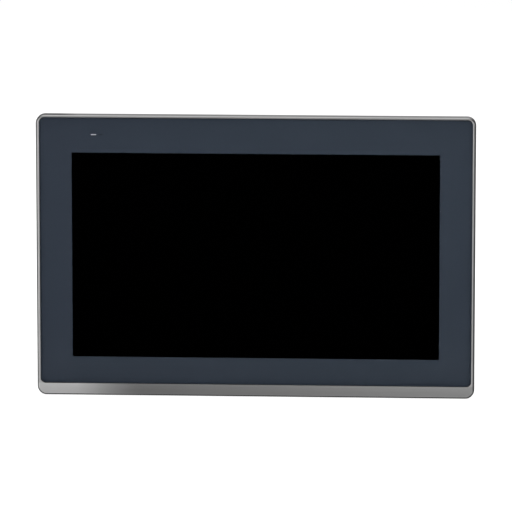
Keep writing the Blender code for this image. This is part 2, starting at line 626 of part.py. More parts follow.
def serial_shape():
    x0, x1, y0, y1 = PORTS["serial_shell"]
    wall, mouth, inside = 0.8, COVER_BOTTOM - 6.0, COVER_BOTTOM + COVER_WALL + GAP
    shape = block((30, 42.2, inside), (63, 54.8, -71))
    shell = cut(
        d_outline(x0 + 0.2, x1 - 0.2, y0 + 0.2, y1 - 0.2, mouth, inside + 1),
        d_outline(x0 + 0.2 + wall, x1 - 0.2 - wall, y0 + 0.2 + wall, y1 - 0.2 - wall, mouth - 1, inside - 0.3),
    )
    studs = [rod((x, SERIAL_Y, COVER_BOTTOM - 4.5), (x, SERIAL_Y, inside + 1), 2.5, 6) for x in SERIAL_STUDS_X]
    mid = (x0 + x1) / 2
    pins = [rod((mid + i * 2.77 - 5.54, 49.9, mouth + 1), (mid + i * 2.77 - 5.54, 49.9, inside + 1), 0.5, 8)
            for i in range(5)]
    pins += [rod((mid + i * 2.77 - 4.155, 47.1, mouth + 1), (mid + i * 2.77 - 4.155, 47.1, inside + 1), 0.5, 8)
             for i in range(4)]
    return joined(shape, shell, together(studs), together(pins))


def pole_xs():
    return [POLES_X + (i - 1) * POLE_PITCH for i in range(3)]


def power_header_shape():
    x0, x1, y0, y1 = PORTS["power_plug"]
    mouth = COVER_BOTTOM + COVER_WALL + GAP
    shape = cut(
        block((x0 - 1.5, y0 - 1.2, mouth), (x1 + 1.5, y1 + 1.2, -70)),
        block((x0 - GAP, y0 - GAP, mouth - 1), (x1 + GAP, y1 + GAP, -73)),
    )
    pin_y = (y0 + y1) / 2
    pins = [block((x - 0.5, pin_y - 0.5, -80), (x + 0.5, pin_y + 0.5, -72)) for x in pole_xs()]
    return joined(shape, together(pins))


def power_plug_shape():
    x0, x1, y0, y1 = PORTS["power_plug"]
    pin_y = (y0 + y1) / 2
    body = block((x0, y0, -99), (x1, y1, -73.4))
    sockets = [block((x - 1, pin_y - 1, -81), (x + 1, pin_y + 1, -72)) for x in pole_xs()]
    wire_entries = [block((x - 1.8, y0 + 1.6, -100), (x + 1.8, y0 + 6.0, -90)) for x in pole_xs()]
    screw_wells = [rod((x, 47.6, TERMINAL_Z + 1.5), (x, 54, TERMINAL_Z + 1.5), 2.1, 12) for x in pole_xs()]
    grooves = [block((x + POLE_PITCH / 2 - 0.3, y1 - 0.8, -100), (x + POLE_PITCH / 2 + 0.3, y1 + 1, -86))
               for x in pole_xs()[:2]]
    return cut(body, together(sockets), together(wire_entries), together(screw_wells), together(grooves))


def build_ports():
    for name in ("ethernet_jack_1", "ethernet_jack_2"):
        node(name, jack_shape(name), "connector_metal")
    node("usb_ports", usb_shape(), "connector_metal")
    node("serial_port", serial_shape(), "connector_metal")
    node("power_header", power_header_shape(), "terminal_green")
    plug = node("power_plug", power_plug_shape(), "terminal_green", (POLES_X, 48.2, -80.0))
    for i, x in enumerate(pole_xs(), 1):
        place = (x, 48.2, TERMINAL_Z + 1.5)
        head = rod((x, 48.2, TERMINAL_Z + 1.5), (x, 52.4, TERMINAL_Z + 1.5), 1.75, 12)
        slot = block((x - 2, 51.6, TERMINAL_Z + 1.2), (x + 2, 53, TERMINAL_Z + 1.8))
        node(f"terminal_screw_{i}", cut(head, slot), "screw_steel", place, plug)
    build_switches()


def build_switches():
    wall_in = COVER_BOTTOM + COVER_WALL
    x, y = RESET_AT
    button = joined(
        rod((x, y, COVER_BOTTOM - 0.4), (x, y, wall_in + 3.5), 1.5, 12),
        rod((x, y, wall_in + GAP), (x, y, wall_in + 1.8), 2.6, 12),
    )
    node("reset_button", button, "button_grey", (x, y, COVER_BOTTOM))
    x, y = MODE_AT
    slider = joined(
        block((x - 1.2, y - 1.0, COVER_BOTTOM - 0.5), (x + 1.2, y + 1.0, wall_in + 2.0)),
        block((x - 3.5, y - 2.6, wall_in + GAP), (x + 3.5, y + 2.6, wall_in + 1.6)),
    )
    node("mode_slider", slider, "button_grey", (x, y, COVER_BOTTOM))


def build_storage():
    card_end, socket_mouth = -101.2, -98.0
    low_z, high_z = CARD_Z
    card_front = BOARD_BACK + 1.3
    card = cut(
        block((card_end, card_front, low_z), (card_end + 32, card_front + 2.1, high_z)),
        moved(block((-4, -2, -4), (4, 6, 4)),
              shift(card_end + 32, card_front, low_z) @ Matrix.Rotation(math.radians(45), 4, "Y")),
    )
    node("memory_card", card, "card_blue", (card_end, card_front + 1.05, sum(CARD_Z) / 2))
    socket = cut(
        block((socket_mouth, BOARD_BACK + GAP, low_z - 1.8), (socket_mouth + 31, card_front + 3.3, high_z + 1.8)),
        block((socket_mouth - 1, card_front - GAP, low_z - GAP),
              (socket_mouth + 30, card_front + 2.1 + GAP, high_z + GAP)),
    )
    node("card_socket", socket, "connector_metal")


# ---- clamps and screws -------------------------------------------------------
def clamp_matrix(place):
    """From a clamp's own frame to the panel's. In its own frame the chassis wall is at Z 0 and Z points outwards."""
    x, z, turn = place
    return shift(x, 0, z) @ Matrix.Rotation(math.radians(turn), 4, "Y")


def clamp_bracket_shape():
    bracket_front, bracket_back = 19.0, 25.0
    body = block((-8, bracket_front, GAP), (8, bracket_back, 6.6), 2, "Y", 2)
    neck = block((-5, 20.0, -3.6), (5, 23.7, 1.0))
    toe = block((-5, 15.0, -3.6), (5, 23.7, -SHEET - GAP))
    bore = rod((0, bracket_front - 1, CLAMP_REACH), (0, bracket_back + 1, CLAMP_REACH), 1.8, 12)
    return cut(joined(body, neck, toe), bore)


def clamp_pad_shape(front):
    """The pad turns freely on the screw's tip, so it slides without turning."""
    return cut(
        rod((0, front, CLAMP_REACH), (0, front + 3.5, CLAMP_REACH), 3.2, 16),
        rod((0, front + 1.4, CLAMP_REACH), (0, front + 5, CLAMP_REACH), 1.8, 16),
    )


def build_clamps():
    pad_front = GASKET_BACK + MAX_PANEL
    tip, shank = pad_front + 1.7, 13.5
    screw_turn = Vector((0, 1, 0)).to_track_quat("Z", "Y").to_matrix().to_4x4()
    head_foot = shift(0, tip + shank, CLAMP_REACH)
    on_axis = (0, pad_front, CLAMP_REACH)
    meshes = {
        "bracket": mesh_of(clamp_bracket_shape(), "clamp_bracket", "screw_steel"),
        "pad": mesh_of(clamp_pad_shape(pad_front), "clamp_pad", "pad_plastic", on_axis),
        "screw": mesh_of(moved(pan_head_screw(1.5, shank, 2.4, 2.0), head_foot @ screw_turn),
                         "clamp_screw", "screw_steel", on_axis),
    }
    for place_name, place in CLAMP_PLACES.items():
        frame = clamp_matrix(place)
        turn = frame.to_quaternion()
        axis_point = frame @ (Vector(on_axis) * MM) / MM
        placed_copy(f"clamp_bracket_{place_name}", meshes["bracket"], frame.translation / MM, turn)
        placed_copy(f"clamp_pad_{place_name}", meshes["pad"], axis_point, turn)
        placed_copy(f"clamp_screw_{place_name}", meshes["screw"], axis_point, turn)


def build_screws():
    chassis_screw = mesh_of(pan_head_screw(1.5, 6.5, 2.8, 1.5), "chassis_screw", "screw_steel")
    count = 0
    for side in (1, -1):
        outwards = Vector((0, 0, side)).to_track_quat("Z", "Y")
        for x in (-CHASSIS_SCREW_X, CHASSIS_SCREW_X):
            count += 1
            place = (x, CHASSIS_SCREW_Y, side * (CHASSIS[1] / 2 + GAP))
            placed_copy(f"chassis_screw_{count}", chassis_screw, place, outwards)
    cover_screw = mesh_of(pan_head_screw(1.5, 6.0, 2.8, 1.8), "cover_screw", "screw_steel")
    to_back = Quaternion(Vector((0, 1, 0)).to_track_quat("Z", "Y"))
    for name, side in (("cover_screw_left", -1), ("cover_screw_right", 1)):
        place = (side * COVER_EAR[0], CHASSIS_BACK + 2 * GAP + 2.0, COVER_EAR[1])
        placed_copy(name, cover_screw, place, to_back)


def main():
    for obj in list(bpy.data.objects):
        bpy.data.objects.remove(obj)
    for name in ("operator_panel", "cutters"):
        bpy.context.scene.collection.children.link(bpy.data.collections.new(name))
    build_front()
    build_display()
    build_chassis()
    build_electronics()
    build_cover()
    build_ports()
    build_storage()
    build_clamps()
    build_screws()


main()
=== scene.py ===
"""The looks of a 15.6 inch panel-mount operator touch panel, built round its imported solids.

X is to the right as the operator sees it, Y goes into the cabinet and Z is up. The origin is the centre
of the picture, on the front of the cover glass. Sizes are in millimetres, and MM makes them metres.
"""

import math

import bmesh
import bpy
from mathutils import Matrix, Vector


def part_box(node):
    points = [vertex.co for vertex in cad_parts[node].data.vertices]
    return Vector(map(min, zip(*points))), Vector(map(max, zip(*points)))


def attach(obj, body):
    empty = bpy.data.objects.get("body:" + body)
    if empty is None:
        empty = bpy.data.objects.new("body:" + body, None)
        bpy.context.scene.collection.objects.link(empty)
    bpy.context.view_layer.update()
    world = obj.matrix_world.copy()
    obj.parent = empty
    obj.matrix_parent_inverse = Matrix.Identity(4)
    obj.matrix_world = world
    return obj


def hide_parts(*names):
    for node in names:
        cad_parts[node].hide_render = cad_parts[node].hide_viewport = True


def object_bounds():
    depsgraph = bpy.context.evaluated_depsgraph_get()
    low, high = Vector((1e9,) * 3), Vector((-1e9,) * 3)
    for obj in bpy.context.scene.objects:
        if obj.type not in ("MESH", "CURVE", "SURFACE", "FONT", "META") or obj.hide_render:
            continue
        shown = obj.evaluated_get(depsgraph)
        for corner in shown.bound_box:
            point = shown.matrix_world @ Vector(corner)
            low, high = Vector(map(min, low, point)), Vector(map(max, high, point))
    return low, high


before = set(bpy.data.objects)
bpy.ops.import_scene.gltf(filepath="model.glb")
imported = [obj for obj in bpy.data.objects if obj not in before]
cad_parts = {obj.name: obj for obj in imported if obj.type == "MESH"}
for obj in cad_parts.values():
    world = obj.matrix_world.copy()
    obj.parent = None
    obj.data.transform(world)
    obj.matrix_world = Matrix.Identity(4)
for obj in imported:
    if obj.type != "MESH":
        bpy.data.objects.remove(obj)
CAD_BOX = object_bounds()

MM = 0.001
SIDES = (-1, 1)
CLAMPS = ("top_left", "top_right", "right", "bottom_right", "bottom_left", "left")
CORNER_STEPS = 12
SHEET = 1.2  # chassis steel
WALL = 1.5  # rear cover
COVER_BACK = 62.0
FLANGE_SCREW_X, FLANGE_SCREW_Y = (-60.0, 60.0), 10.6  # the screws that hold the chassis on the bezel's rib
PORTS = ("power_plug", "ethernet_jack_1", "ethernet_jack_2", "usb_ports")
PORT_WALL = (-90, -82)  # from below the cover's lower wall to above it
SERIAL_X, SERIAL_SCREWS = 46.5, (33.2, 59.8)
LIGHT_Z = 113.76
CARD_HINGE = (-106.2, 37.4)  # X and Y of the card door's pin
BATTERY_HINGE = (63.2, 13.4)  # Y and Z of the battery door's pin
PICTURE_WIDTH, PICTURE_COLUMNS = 344.2, 1366
VIEW_AZIMUTH, VIEW_ELEVATION = math.radians(3.32), math.radians(9.10)


# Materials
class Shader:
    """The node tree of a material or a world, with short names for the nodes it uses most."""

    def __init__(self, name, owner=None):
        self.owner = owner or bpy.data.materials.new(name)
        self.owner.use_nodes = True
        self.tree = self.owner.node_tree
        self.tree.nodes.clear()
        self.coordinates = self.node("TexCoord").outputs
        self.place = self.coordinates["Object"]

    def node(self, kind, inputs=None, **settings):
        node = self.tree.nodes.new("ShaderNode" + kind)
        for key, value in settings.items():
            setattr(node, key, value)
        for key, value in (inputs or {}).items():
            self.feed(node.inputs[key], value)
        return node

    def feed(self, socket, value):
        """Links a socket or a node's first output, or sets a value. A single number makes a grey."""
        if isinstance(value, bpy.types.Node):
            value = value.outputs[0]
        if isinstance(value, bpy.types.NodeSocket):
            self.tree.links.new(value, socket)
        elif socket.type == "RGBA":
            socket.default_value = (*(value if isinstance(value, tuple) else (value,) * 3), 1.0)
        else:
            socket.default_value = value

    def math(self, operation, a, b=0.0, clamp=False):
        return self.node("Math", {0: a, 1: b}, operation=operation, use_clamp=clamp)

    def plus(self, a, b, clamp=False):
        return self.math("ADD", a, b, clamp)

    def less(self, a, b):
        return self.math("SUBTRACT", a, b)

    def times(self, a, b, clamp=False):
        return self.math("MULTIPLY", a, b, clamp)

    def most(self, a, b):
        return self.math("MAXIMUM", a, b)

    def mix(self, factor, a, b):
        return self.node("Mix", {0: factor, 6: a, 7: b}, data_type="RGBA").outputs[2]

    def ramp(self, value, stops, interpolation="LINEAR"):
        """Greys by a value from 0 to 1, through (value, grey) stops."""
        ramp = self.node("ValToRGB", {0: value})
        ramp.color_ramp.interpolation = interpolation
        elements = ramp.color_ramp.elements
        for i, (place, grey) in enumerate(stops):
            element = elements[i] if i < 2 else elements.new(1.0)
            element.position = place
            element.color = (grey, grey, grey, 1.0)
        return ramp

    def stretched(self, x, y, z):
        return self.node("Mapping", {"Vector": self.place, "Scale": (x, y, z)})

    def noise(self, size, detail=3.0, vector=None, distortion=0.0):
        """Noise from 0 to 1 whose patches are about this many millimetres across."""
        inputs = {"Vector": vector or self.place, "Scale": 1 / (size * MM), "Detail": detail}
        return self.node("TexNoise", {**inputs, "Distortion": distortion})

    def step(self, value, low, high, start=0.0, end=1.0):
        """A smooth rise from start to end as the value goes from low to high."""
        return self.node("MapRange", {0: value, 1: low, 2: high, 3: start, 4: end},
                         interpolation_type="SMOOTHSTEP")

    def axis(self, name):
        return self.node("SeparateXYZ", {0: self.place}).outputs[name]

    def facing(self):
        """How far the surface faces along X, Y and Z."""
        return self.node("SeparateXYZ", {0: self.node("NewGeometry").outputs["Normal"]}).outputs

    def edges(self, radius):
        """(normal rounded over edges, how near an edge is from 0 to 1)."""
        rounded = self.node("Bevel", {"Radius": radius * MM}, samples=4)
        straight = self.node("NewGeometry").outputs["Normal"]
        cosine = self.node("VectorMath", {0: rounded, 1: straight}, operation="DOT_PRODUCT").outputs["Value"]
        return rounded, self.step(cosine, 0.995, 0.88)

    def bump(self, height, depth, normal=None):
        inputs = {"Height": height, "Distance": depth * MM}
        if normal:
            inputs["Normal"] = normal
        return self.node("Bump", inputs)

    def solid(self, inputs):
        return self.finish(self.node("BsdfPrincipled", inputs))

    def finish(self, shader, output="OutputMaterial"):
        self.node(output, {0: shader})
        return self.owner


def surface(name, dark, light, roughness, metallic=0.0, patches=12.0, grain=0.25, relief=0.01, wear=0.0,
            stretch=(1, 1, 1), specular=0.5, coat=0.0, dust=0.0):
    """A finished solid surface: mottled colour, fine grain, softened and worn edges, and a little dust."""
    s = Shader(name)
    cloud = s.noise(patches, 4.0)
    fine = s.noise(grain, 2.0, s.stretched(*stretch))
    colour = s.mix(s.step(cloud, 0.35, 0.65), dark, light)
    normal, near_edge = s.edges(0.25)
    worn = s.times(near_edge, s.step(s.noise(4.0, 5.0), 0.35, 0.7, 0.0, wear), clamp=True)
    colour = s.mix(worn, colour, tuple(min(1.0, c * 1.7 + 0.05) for c in light))
    settled = s.times(s.step(s.noise(18.0, 6.0), 0.45, 0.8), dust)
    colour = s.mix(settled, colour, (0.32, 0.31, 0.29))
    rough = s.plus(s.step(cloud, 0.2, 0.8, -0.12 * roughness, 0.12 * roughness),
                   s.step(fine, 0.2, 0.8, 0.88 * roughness, 1.12 * roughness))
    rough = s.plus(rough, s.times(settled, 0.3), clamp=True)
    return s.solid({
        "Base Color": colour, "Metallic": metallic, "Roughness": rough, "Specular IOR Level": specular,
        "Coat Weight": coat, "Coat Roughness": 0.15,
        "Normal": s.bump(fine, relief, normal),
    })


def silver_paint():
    """The bezel: satin silver, with a soft painted sheen in its colour that is brightest towards the left of
    the lower band, a painted dark line along the top and painted shade on the rim.
    """
    s = Shader("bezel_silver")
    z = s.axis("Z")
    half_width = 205.0
    # Painted reflection: the lower band's colour rises and falls along X like a soft light caught in the
    # metal.
    painted_sheen_tones = ((-205, 0.59), (-180, 0.59), (-164, 0.54), (-146, 0.395), (-118, 0.23), (-90, 0.21), (-52, 0.235),
             (-15, 0.25), (22, 0.268), (60, 0.29), (97, 0.307), (135, 0.33), (163, 0.342), (205, 0.36))
    share = s.node("MapRange", {0: s.axis("X"), 1: -half_width * MM, 2: half_width * MM})
    sheen = s.ramp(share, [((x + half_width) / (2 * half_width), tone) for x, tone in painted_sheen_tones], "CARDINAL")
    # Painted light and shade: the lower band is lighter near its top and darker towards its bottom edge.
    fade = s.step(z, -0.122, -0.131, 1.08, 0.95)
    lower = s.node("VectorMath", {0: sheen, 3: fade}, operation="SCALE")
    # Painted shade: a darker line along the top of the frame, just below its top rounding.
    painted_top_line = s.mix(s.step(z, 0.1312, 0.1320), 0.31, 0.52)
    plain = s.mix(s.step(s.noise(25.0, 3.0), 0.3, 0.7), 0.5, 0.54)
    plain = s.mix(s.step(z, 0.128, 0.130), plain, painted_top_line)
    colour = s.mix(s.step(z, -0.1205, -0.1225), plain, lower)
    normal, near_edge = s.edges(0.2)
    grain = s.noise(0.12, 2.0)
    metal = s.node("BsdfPrincipled", {
        "Base Color": s.mix(s.times(near_edge, 0.1), colour, 0.7), "Metallic": 1.0,
        "Roughness": s.step(grain, 0.2, 0.8, 0.3, 0.38), "Normal": s.bump(grain, 0.004, normal),
    })
    # Painted shade: a dark diffuse that rim_shade mixes over the metal along the rim.
    dark = s.node("BsdfDiffuse", {"Color": (0.03, 0.03, 0.031)})
    return s.finish(s.node("MixShader", {0: rim_shade(s), 1: metal, 2: dark}))


def rim_shade(s):
    """How much painted shade darkens the rim's rounded front edge, by the way that it faces round the frame.
    """
    facing = s.facing()
    turn = s.math("DIVIDE", s.math("ARCTAN2", facing["Z"], facing["X"]), 2 * math.pi)
    by_turn = s.ramp(s.plus(turn, 0.5), (
        (0.0, 0.9), (0.125, 0.9), (0.25, 1.0), (0.375, 1.0), (0.5, 0.95), (0.6, 0.95), (0.625, 1.0),
        (0.66, 0.5), (0.72, 0.25), (0.78, 0.25), (0.84, 0.5), (0.875, 1.0), (0.9, 0.9), (1.0, 0.9)))
    length = s.math("SQRT", s.less(1.0001, s.times(facing["Y"], facing["Y"])))
    across = s.math("ABSOLUTE", s.math("DIVIDE", facing["X"], length))
    upwards = s.math("DIVIDE", facing["Z"], length)
    corner = s.times(upwards, across)
    top_corner = s.step(corner, 0.15, 0.4)
    below = s.step(upwards, -0.3, -0.7)
    early = s.most(s.most(s.step(across, 0.3, 0.7), below), top_corner)
    wide = s.most(s.step(s.math("ABSOLUTE", corner), 0.15, 0.4, 0.0, 0.7), s.times(below, 0.4))
    start = s.less(s.less(-0.95, s.times(early, 0.048)), s.times(wide, 0.0018))
    full = s.less(s.less(-0.6, s.times(early, 0.3)), s.times(wide, 0.09))
    # Past X 203.2 mm the right edge takes the painted shade whichever way it faces.
    turned_away = s.most(s.step(facing["Y"], start, full), s.step(s.axis("X"), 0.2032, 0.2040))
    # The top face left of X -155 mm also takes painted shade.
    top_left = s.times(s.step(s.axis("X"), -0.155, -0.185), s.step(facing["Z"], 0.5, 0.8))
    at_front = s.most(s.step(s.axis("Y"), 0.0020, 0.0012), s.most(top_corner, top_left))
    return s.times(s.times(turned_away, at_front), s.most(by_turn, top_left))


def clear_glass():
    """Cover glass with an anti-reflection coat: almost clear head on, and a mirror at a grazing angle."""
    s = Shader("cover_glass")
    grazing = s.node("LayerWeight", {"Blend": 0.5}).outputs["Facing"]
    shine = s.plus(s.times(s.math("POWER", grazing, 4.0), 0.8), 0.003)
    shine = s.times(shine, s.step(s.facing()["Y"], -0.6, -0.99, 0.02, 1.0))
    smear = s.noise(30.0, 5.0, s.stretched(1, 1, 2.4), 0.6)
    gloss = s.node("BsdfGlossy", {
        "Color": (0.95, 0.97, 1.0), "Roughness": s.step(smear, 0.35, 0.75, 0.03, 0.09),
        "Normal": s.bump(s.noise(160.0, 1.0), 0.4),
    })
    clear = s.node("BsdfTransparent", {"Color": (0.985, 0.99, 0.99)})
    return s.finish(s.node("MixShader", {0: shine, 1: clear, 2: gloss}))


def border_print():
    """Dark blue-grey print behind the glass, a touch lighter to the right, with painted light over its lower
    part and painted shade along its lower edge.
    """
    s = Shader("border_print")
    z = s.axis("Z")
    speck = s.noise(0.15, 1.0)
    colour = s.mix(s.step(s.axis("X"), -0.19, 0.05), (0.0203, 0.0253, 0.0349), (0.0215, 0.0271, 0.0368))
    # Painted light: the lower part of the print is lifted a little.
    colour = s.mix(s.step(z, -0.07, -0.10), colour, s.mix(0.07, colour, (0.05, 0.06, 0.07)))
    # Painted shade: darker along the print's lower edge.
    colour = s.mix(s.step(z, -0.112, -0.123), colour, (0.0196, 0.0248, 0.0346))
    return s.solid({
        "Base Color": s.mix(s.step(speck, 0.3, 0.7, 0.0, 0.10), colour, (0.034, 0.041, 0.052)),
        "Roughness": s.step(speck, 0.3, 0.7, 0.5, 0.62), "Specular IOR Level": 0.0,
        "Normal": s.bump(speck, 0.002),
    })


def display_black():
    """The switched-off picture: black, with its pixel columns only just there."""
    s = Shader("display_black")
    scale = 0.314 / (PICTURE_WIDTH / PICTURE_COLUMNS * MM)
    wave = s.node("TexWave", {"Vector": s.place, "Scale": scale}, bands_direction="X")
    lines = s.step(wave.outputs["Fac"], 0.3, 0.9, 0.0, 0.25)
    colour = s.mix(lines, (0.00005, 0.00005, 0.00006), (0.0002, 0.0002, 0.00025))
    return s.solid({"Base Color": colour, "Roughness": 0.35, "Specular IOR Level": 0.0})


def light_bar():
    s = Shader("status_light")
    cloudy = s.step(s.noise(1.2, 2.0), 0.2, 0.8)
    return s.solid({
        "Base Color": s.mix(cloudy, (0.36, 0.355, 0.345), (0.42, 0.415, 0.405)), "Roughness": 0.4,
        "Specular IOR Level": 0.2, "Normal": s.bump(cloudy, 0.01),
    })


def galvanised():
    """Zinc-coated sheet: crystal spangle under a faint rolling direction, scuffed at its edges."""
    s = Shader("galvanised_steel")
    spangle = s.node("TexVoronoi", {"Vector": s.place, "Scale": 1 / (4.5 * MM), "Randomness": 1.0})
    facet = s.node("SeparateColor", {0: spangle.outputs["Color"]})
    rolled = s.noise(0.5, 2.0, s.stretched(0.06, 1, 1))
    colour = s.mix(facet, (0.46, 0.47, 0.48), (0.56, 0.57, 0.58))
    colour = s.mix(s.step(rolled, 0.3, 0.8, 0.0, 0.3), colour, (0.62, 0.63, 0.64))
    stain = s.step(s.noise(60.0, 5.0), 0.5, 0.8, 0.0, 0.15)
    colour = s.mix(stain, colour, (0.34, 0.345, 0.35))
    normal, near_edge = s.edges(0.3)
    return s.solid({
        "Base Color": s.mix(s.times(near_edge, 0.5), colour, 0.75), "Metallic": 0.9,
        "Roughness": s.plus(s.step(facet, 0.0, 1.0, 0.34, 0.48), s.step(rolled, 0.3, 0.7, -0.05, 0.05)),
        "Normal": s.bump(rolled, 0.006, normal),
    })


def circuit_board(node, thickness):
    """Green solder mask with tracks and pads; what stands above the board's back face is black."""
    s = Shader("circuit_board")
    face = box(node)[0].y + thickness
    above = s.step(s.less(s.axis("Y"), face * MM), 0.0001, 0.0003)
    tracks = s.node("TexBrick", {
        "Vector": s.node("Mapping", {"Vector": s.place, "Rotation": (math.pi / 2, 0, 0)}),
        "Color1": (0.012, 0.10, 0.045), "Color2": (0.010, 0.085, 0.038), "Mortar": (0.03, 0.17, 0.08),
        "Scale": 1 / (9.0 * MM) / 4, "Mortar Size": 0.012,
    })
    cells = s.node("TexVoronoi", {"Vector": s.place, "Scale": 1 / (1.8 * MM), "Randomness": 0.55},
                   distance="CHEBYCHEV").outputs
    chosen = s.step(s.node("SeparateColor", {0: cells["Color"]}), 0.6, 0.62)
    mask = s.mix(s.times(s.step(cells["Distance"], 0.24, 0.2), chosen), tracks, (0.45, 0.44, 0.38))
    chips = s.mix(s.step(s.noise(3.0, 1.0), 0.4, 0.6), (0.012, 0.012, 0.013), (0.022, 0.022, 0.024))
    return s.solid({
        "Base Color": s.mix(above, mask, chips), "Roughness": s.step(above, 0, 1, 0.3, 0.55),
        "Normal": s.bump(s.noise(0.3, 2.0), 0.01, s.edges(0.2)[0]),
    })


def build_materials():
    """Every finish of the panel, by name."""
    return {
        "silver": silver_paint(),
        "glass": clear_glass(),
        "print": border_print(),
        "display": display_black(),
        "light": light_bar(),
        "steel": galvanised(),
        "board": circuit_board("tcon_board", 1.2),
        "mainboard": circuit_board("main_board", 1.6),
        "sensor": surface(
            "sensor_window", (0.009, 0.012, 0.017), (0.012, 0.015, 0.021), 0.25, grain=0.3, relief=0.001,
            specular=0.0),
        "foam": surface(
            "seal_foam", (0.012, 0.012, 0.013), (0.03, 0.03, 0.032), 0.95, grain=0.5, relief=0.12,
            specular=0.2),
        "rubber": surface(
            "gasket_rubber", (0.016, 0.016, 0.017), (0.028, 0.028, 0.03), 0.62, grain=0.35, relief=0.02,
            dust=0.08, specular=0.35),
        "bright": surface(
            "bright_sheet", (0.62, 0.63, 0.64), (0.7, 0.71, 0.72), 0.28, 1.0, stretch=(0.1, 1, 1),
            relief=0.004, wear=0.3),
        "cover": surface(
            "cover_plastic", (0.030, 0.032, 0.035), (0.038, 0.040, 0.044), 0.5, grain=0.45, relief=0.05,
            wear=0.22, dust=0.035),
        "door": surface(
            "door_plastic", (0.034, 0.036, 0.040), (0.043, 0.046, 0.050), 0.46, grain=0.45, relief=0.045,
            wear=0.3, dust=0.03),
        "black": surface(
            "moulded_black", (0.010, 0.010, 0.011), (0.018, 0.018, 0.019), 0.42, grain=0.4, relief=0.02,
            wear=0.15),
        "sink": surface(
            "extruded_aluminium", (0.62, 0.63, 0.64), (0.74, 0.75, 0.76), 0.36, 1.0, grain=0.3,
            stretch=(1, 1, 0.03), relief=0.02, wear=0.4, dust=0.12),
        "tinned": surface(
            "tinned_metal", (0.60, 0.60, 0.58), (0.72, 0.72, 0.70), 0.24, 1.0, grain=0.6, wear=0.35),
        "gold": surface("gold_plate", (0.86, 0.55, 0.18), (0.95, 0.66, 0.26), 0.2, 1.0, relief=0.003),
        "green": surface(
            "terminal_green", (0.012, 0.19, 0.055), (0.018, 0.25, 0.075), 0.4, grain=0.4, relief=0.02,
            wear=0.2),
        "zinc": surface(
            "zinc_plate", (0.55, 0.56, 0.58), (0.68, 0.68, 0.68), 0.27, 1.0, 5.0, 0.4, relief=0.006,
            wear=0.4),
        "cast": surface(
            "cast_zinc", (0.36, 0.365, 0.37), (0.47, 0.475, 0.48), 0.46, 0.9, 6.0, 0.5, relief=0.07, wear=0.6,
            dust=0.1),
        "amber": surface(
            "polyimide_film", (0.42, 0.17, 0.02), (0.55, 0.25, 0.04), 0.3, coat=0.4, stretch=(3, 1, 0.02),
            grain=2.0, relief=0.03),
        "jacket": surface("cable_jacket", (0.012, 0.012, 0.012), (0.02, 0.02, 0.021), 0.6, relief=0.02),
        "card": surface("card_plastic", (0.015, 0.03, 0.10), (0.02, 0.045, 0.14), 0.38, wear=0.2),
        "button": surface(
            "button_grey", (0.26, 0.27, 0.28), (0.33, 0.34, 0.35), 0.42, relief=0.02, wear=0.25),
        "pad": surface(
            "pad_plastic", (0.02, 0.02, 0.021), (0.035, 0.035, 0.037), 0.6, grain=0.35, relief=0.03,
            wear=0.3),
        "tongue": surface("port_blue", (0.012, 0.09, 0.42), (0.016, 0.12, 0.5), 0.4),
        "lamp_green": surface("port_lamp_green", (0.05, 0.32, 0.1), (0.07, 0.42, 0.14), 0.25, coat=0.5),
        "lamp_amber": surface("port_lamp_amber", (0.62, 0.28, 0.03), (0.75, 0.36, 0.05), 0.25, coat=0.5),
        "backlight": surface(
            "backlight_pan", (0.66, 0.67, 0.67), (0.74, 0.74, 0.74), 0.35, 0.9, stretch=(0.08, 1, 1)),
        "ink": surface(
            "printed_ink", (0.20, 0.205, 0.21), (0.25, 0.255, 0.26), 0.6, relief=0.002, specular=0.2),
        "label": surface(
            "label_film", (0.215, 0.22, 0.225), (0.25, 0.255, 0.26), 0.42, 0.0, 30.0, 0.6, relief=0.004,
            stretch=(1, 1, 0.1), dust=0.1),
        "dark_ink": surface(
            "dark_ink", (0.02, 0.02, 0.022), (0.03, 0.03, 0.032), 0.6, relief=0.002, specular=0.2),
    }


# Shapes, in millimetres
def point(x, y, z):
    return Vector((x, y, z)) * MM


def shift(x=0.0, y=0.0, z=0.0):
    return Matrix.Translation(point(x, y, z))


def spin(degrees, axis="Y"):
    return Matrix.Rotation(math.radians(degrees), 4, axis)


def moved(shape, matrix):
    bmesh.ops.transform(shape, matrix=matrix, verts=shape.verts)
    return shape


def round_edges(shape, edges, radius, steps):
    bmesh.ops.bevel(shape, geom=edges, offset=radius * MM, segments=steps, profile=0.5, affect="EDGES")


def block(low, high, bevel=0.0, steps=3):
    """A box between two corners, with all its edges rounded."""
    low, high = Vector(low) * MM, Vector(high) * MM
    matrix = Matrix.Translation((low + high) / 2) @ Matrix.Diagonal((*(high - low), 1))
    shape = bmesh.new()
    bmesh.ops.create_cube(shape, size=1.0, matrix=matrix)
    if bevel:
        round_edges(shape, shape.edges[:], bevel, steps)
    return shape


def slab(low, high, radius, along="Y", steps=8):
    """A box whose four edges that run along one axis are rounded."""
    shape = block(low, high)
    axis = "XYZ".index(along)
    upright = [e for e in shape.edges if abs((e.verts[0].co - e.verts[1].co)[axis]) > 1e-6]
    round_edges(shape, upright, radius, steps)
    return shape


def plaque(x, z, half_width, half_height, front, back, radius, steps=4):
    """A plate that faces Y, by its centre, with rounded corners."""
    return slab((x - half_width, front, z - half_height), (x + half_width, back, z + half_height),
                radius, "Y", steps)


def stadium(x, z, width, height, front, back):
    """A slot with round ends, through a wall that faces Y."""
    return plaque(x, z, width / 2, height / 2, front, back, min(width, height) / 2 - 0.01, 5)


def rod(start, end, radius, sides=32):
    return lathe([(0, 0), (radius, 0), (radius, 1), (0, 1)], start, end, sides)


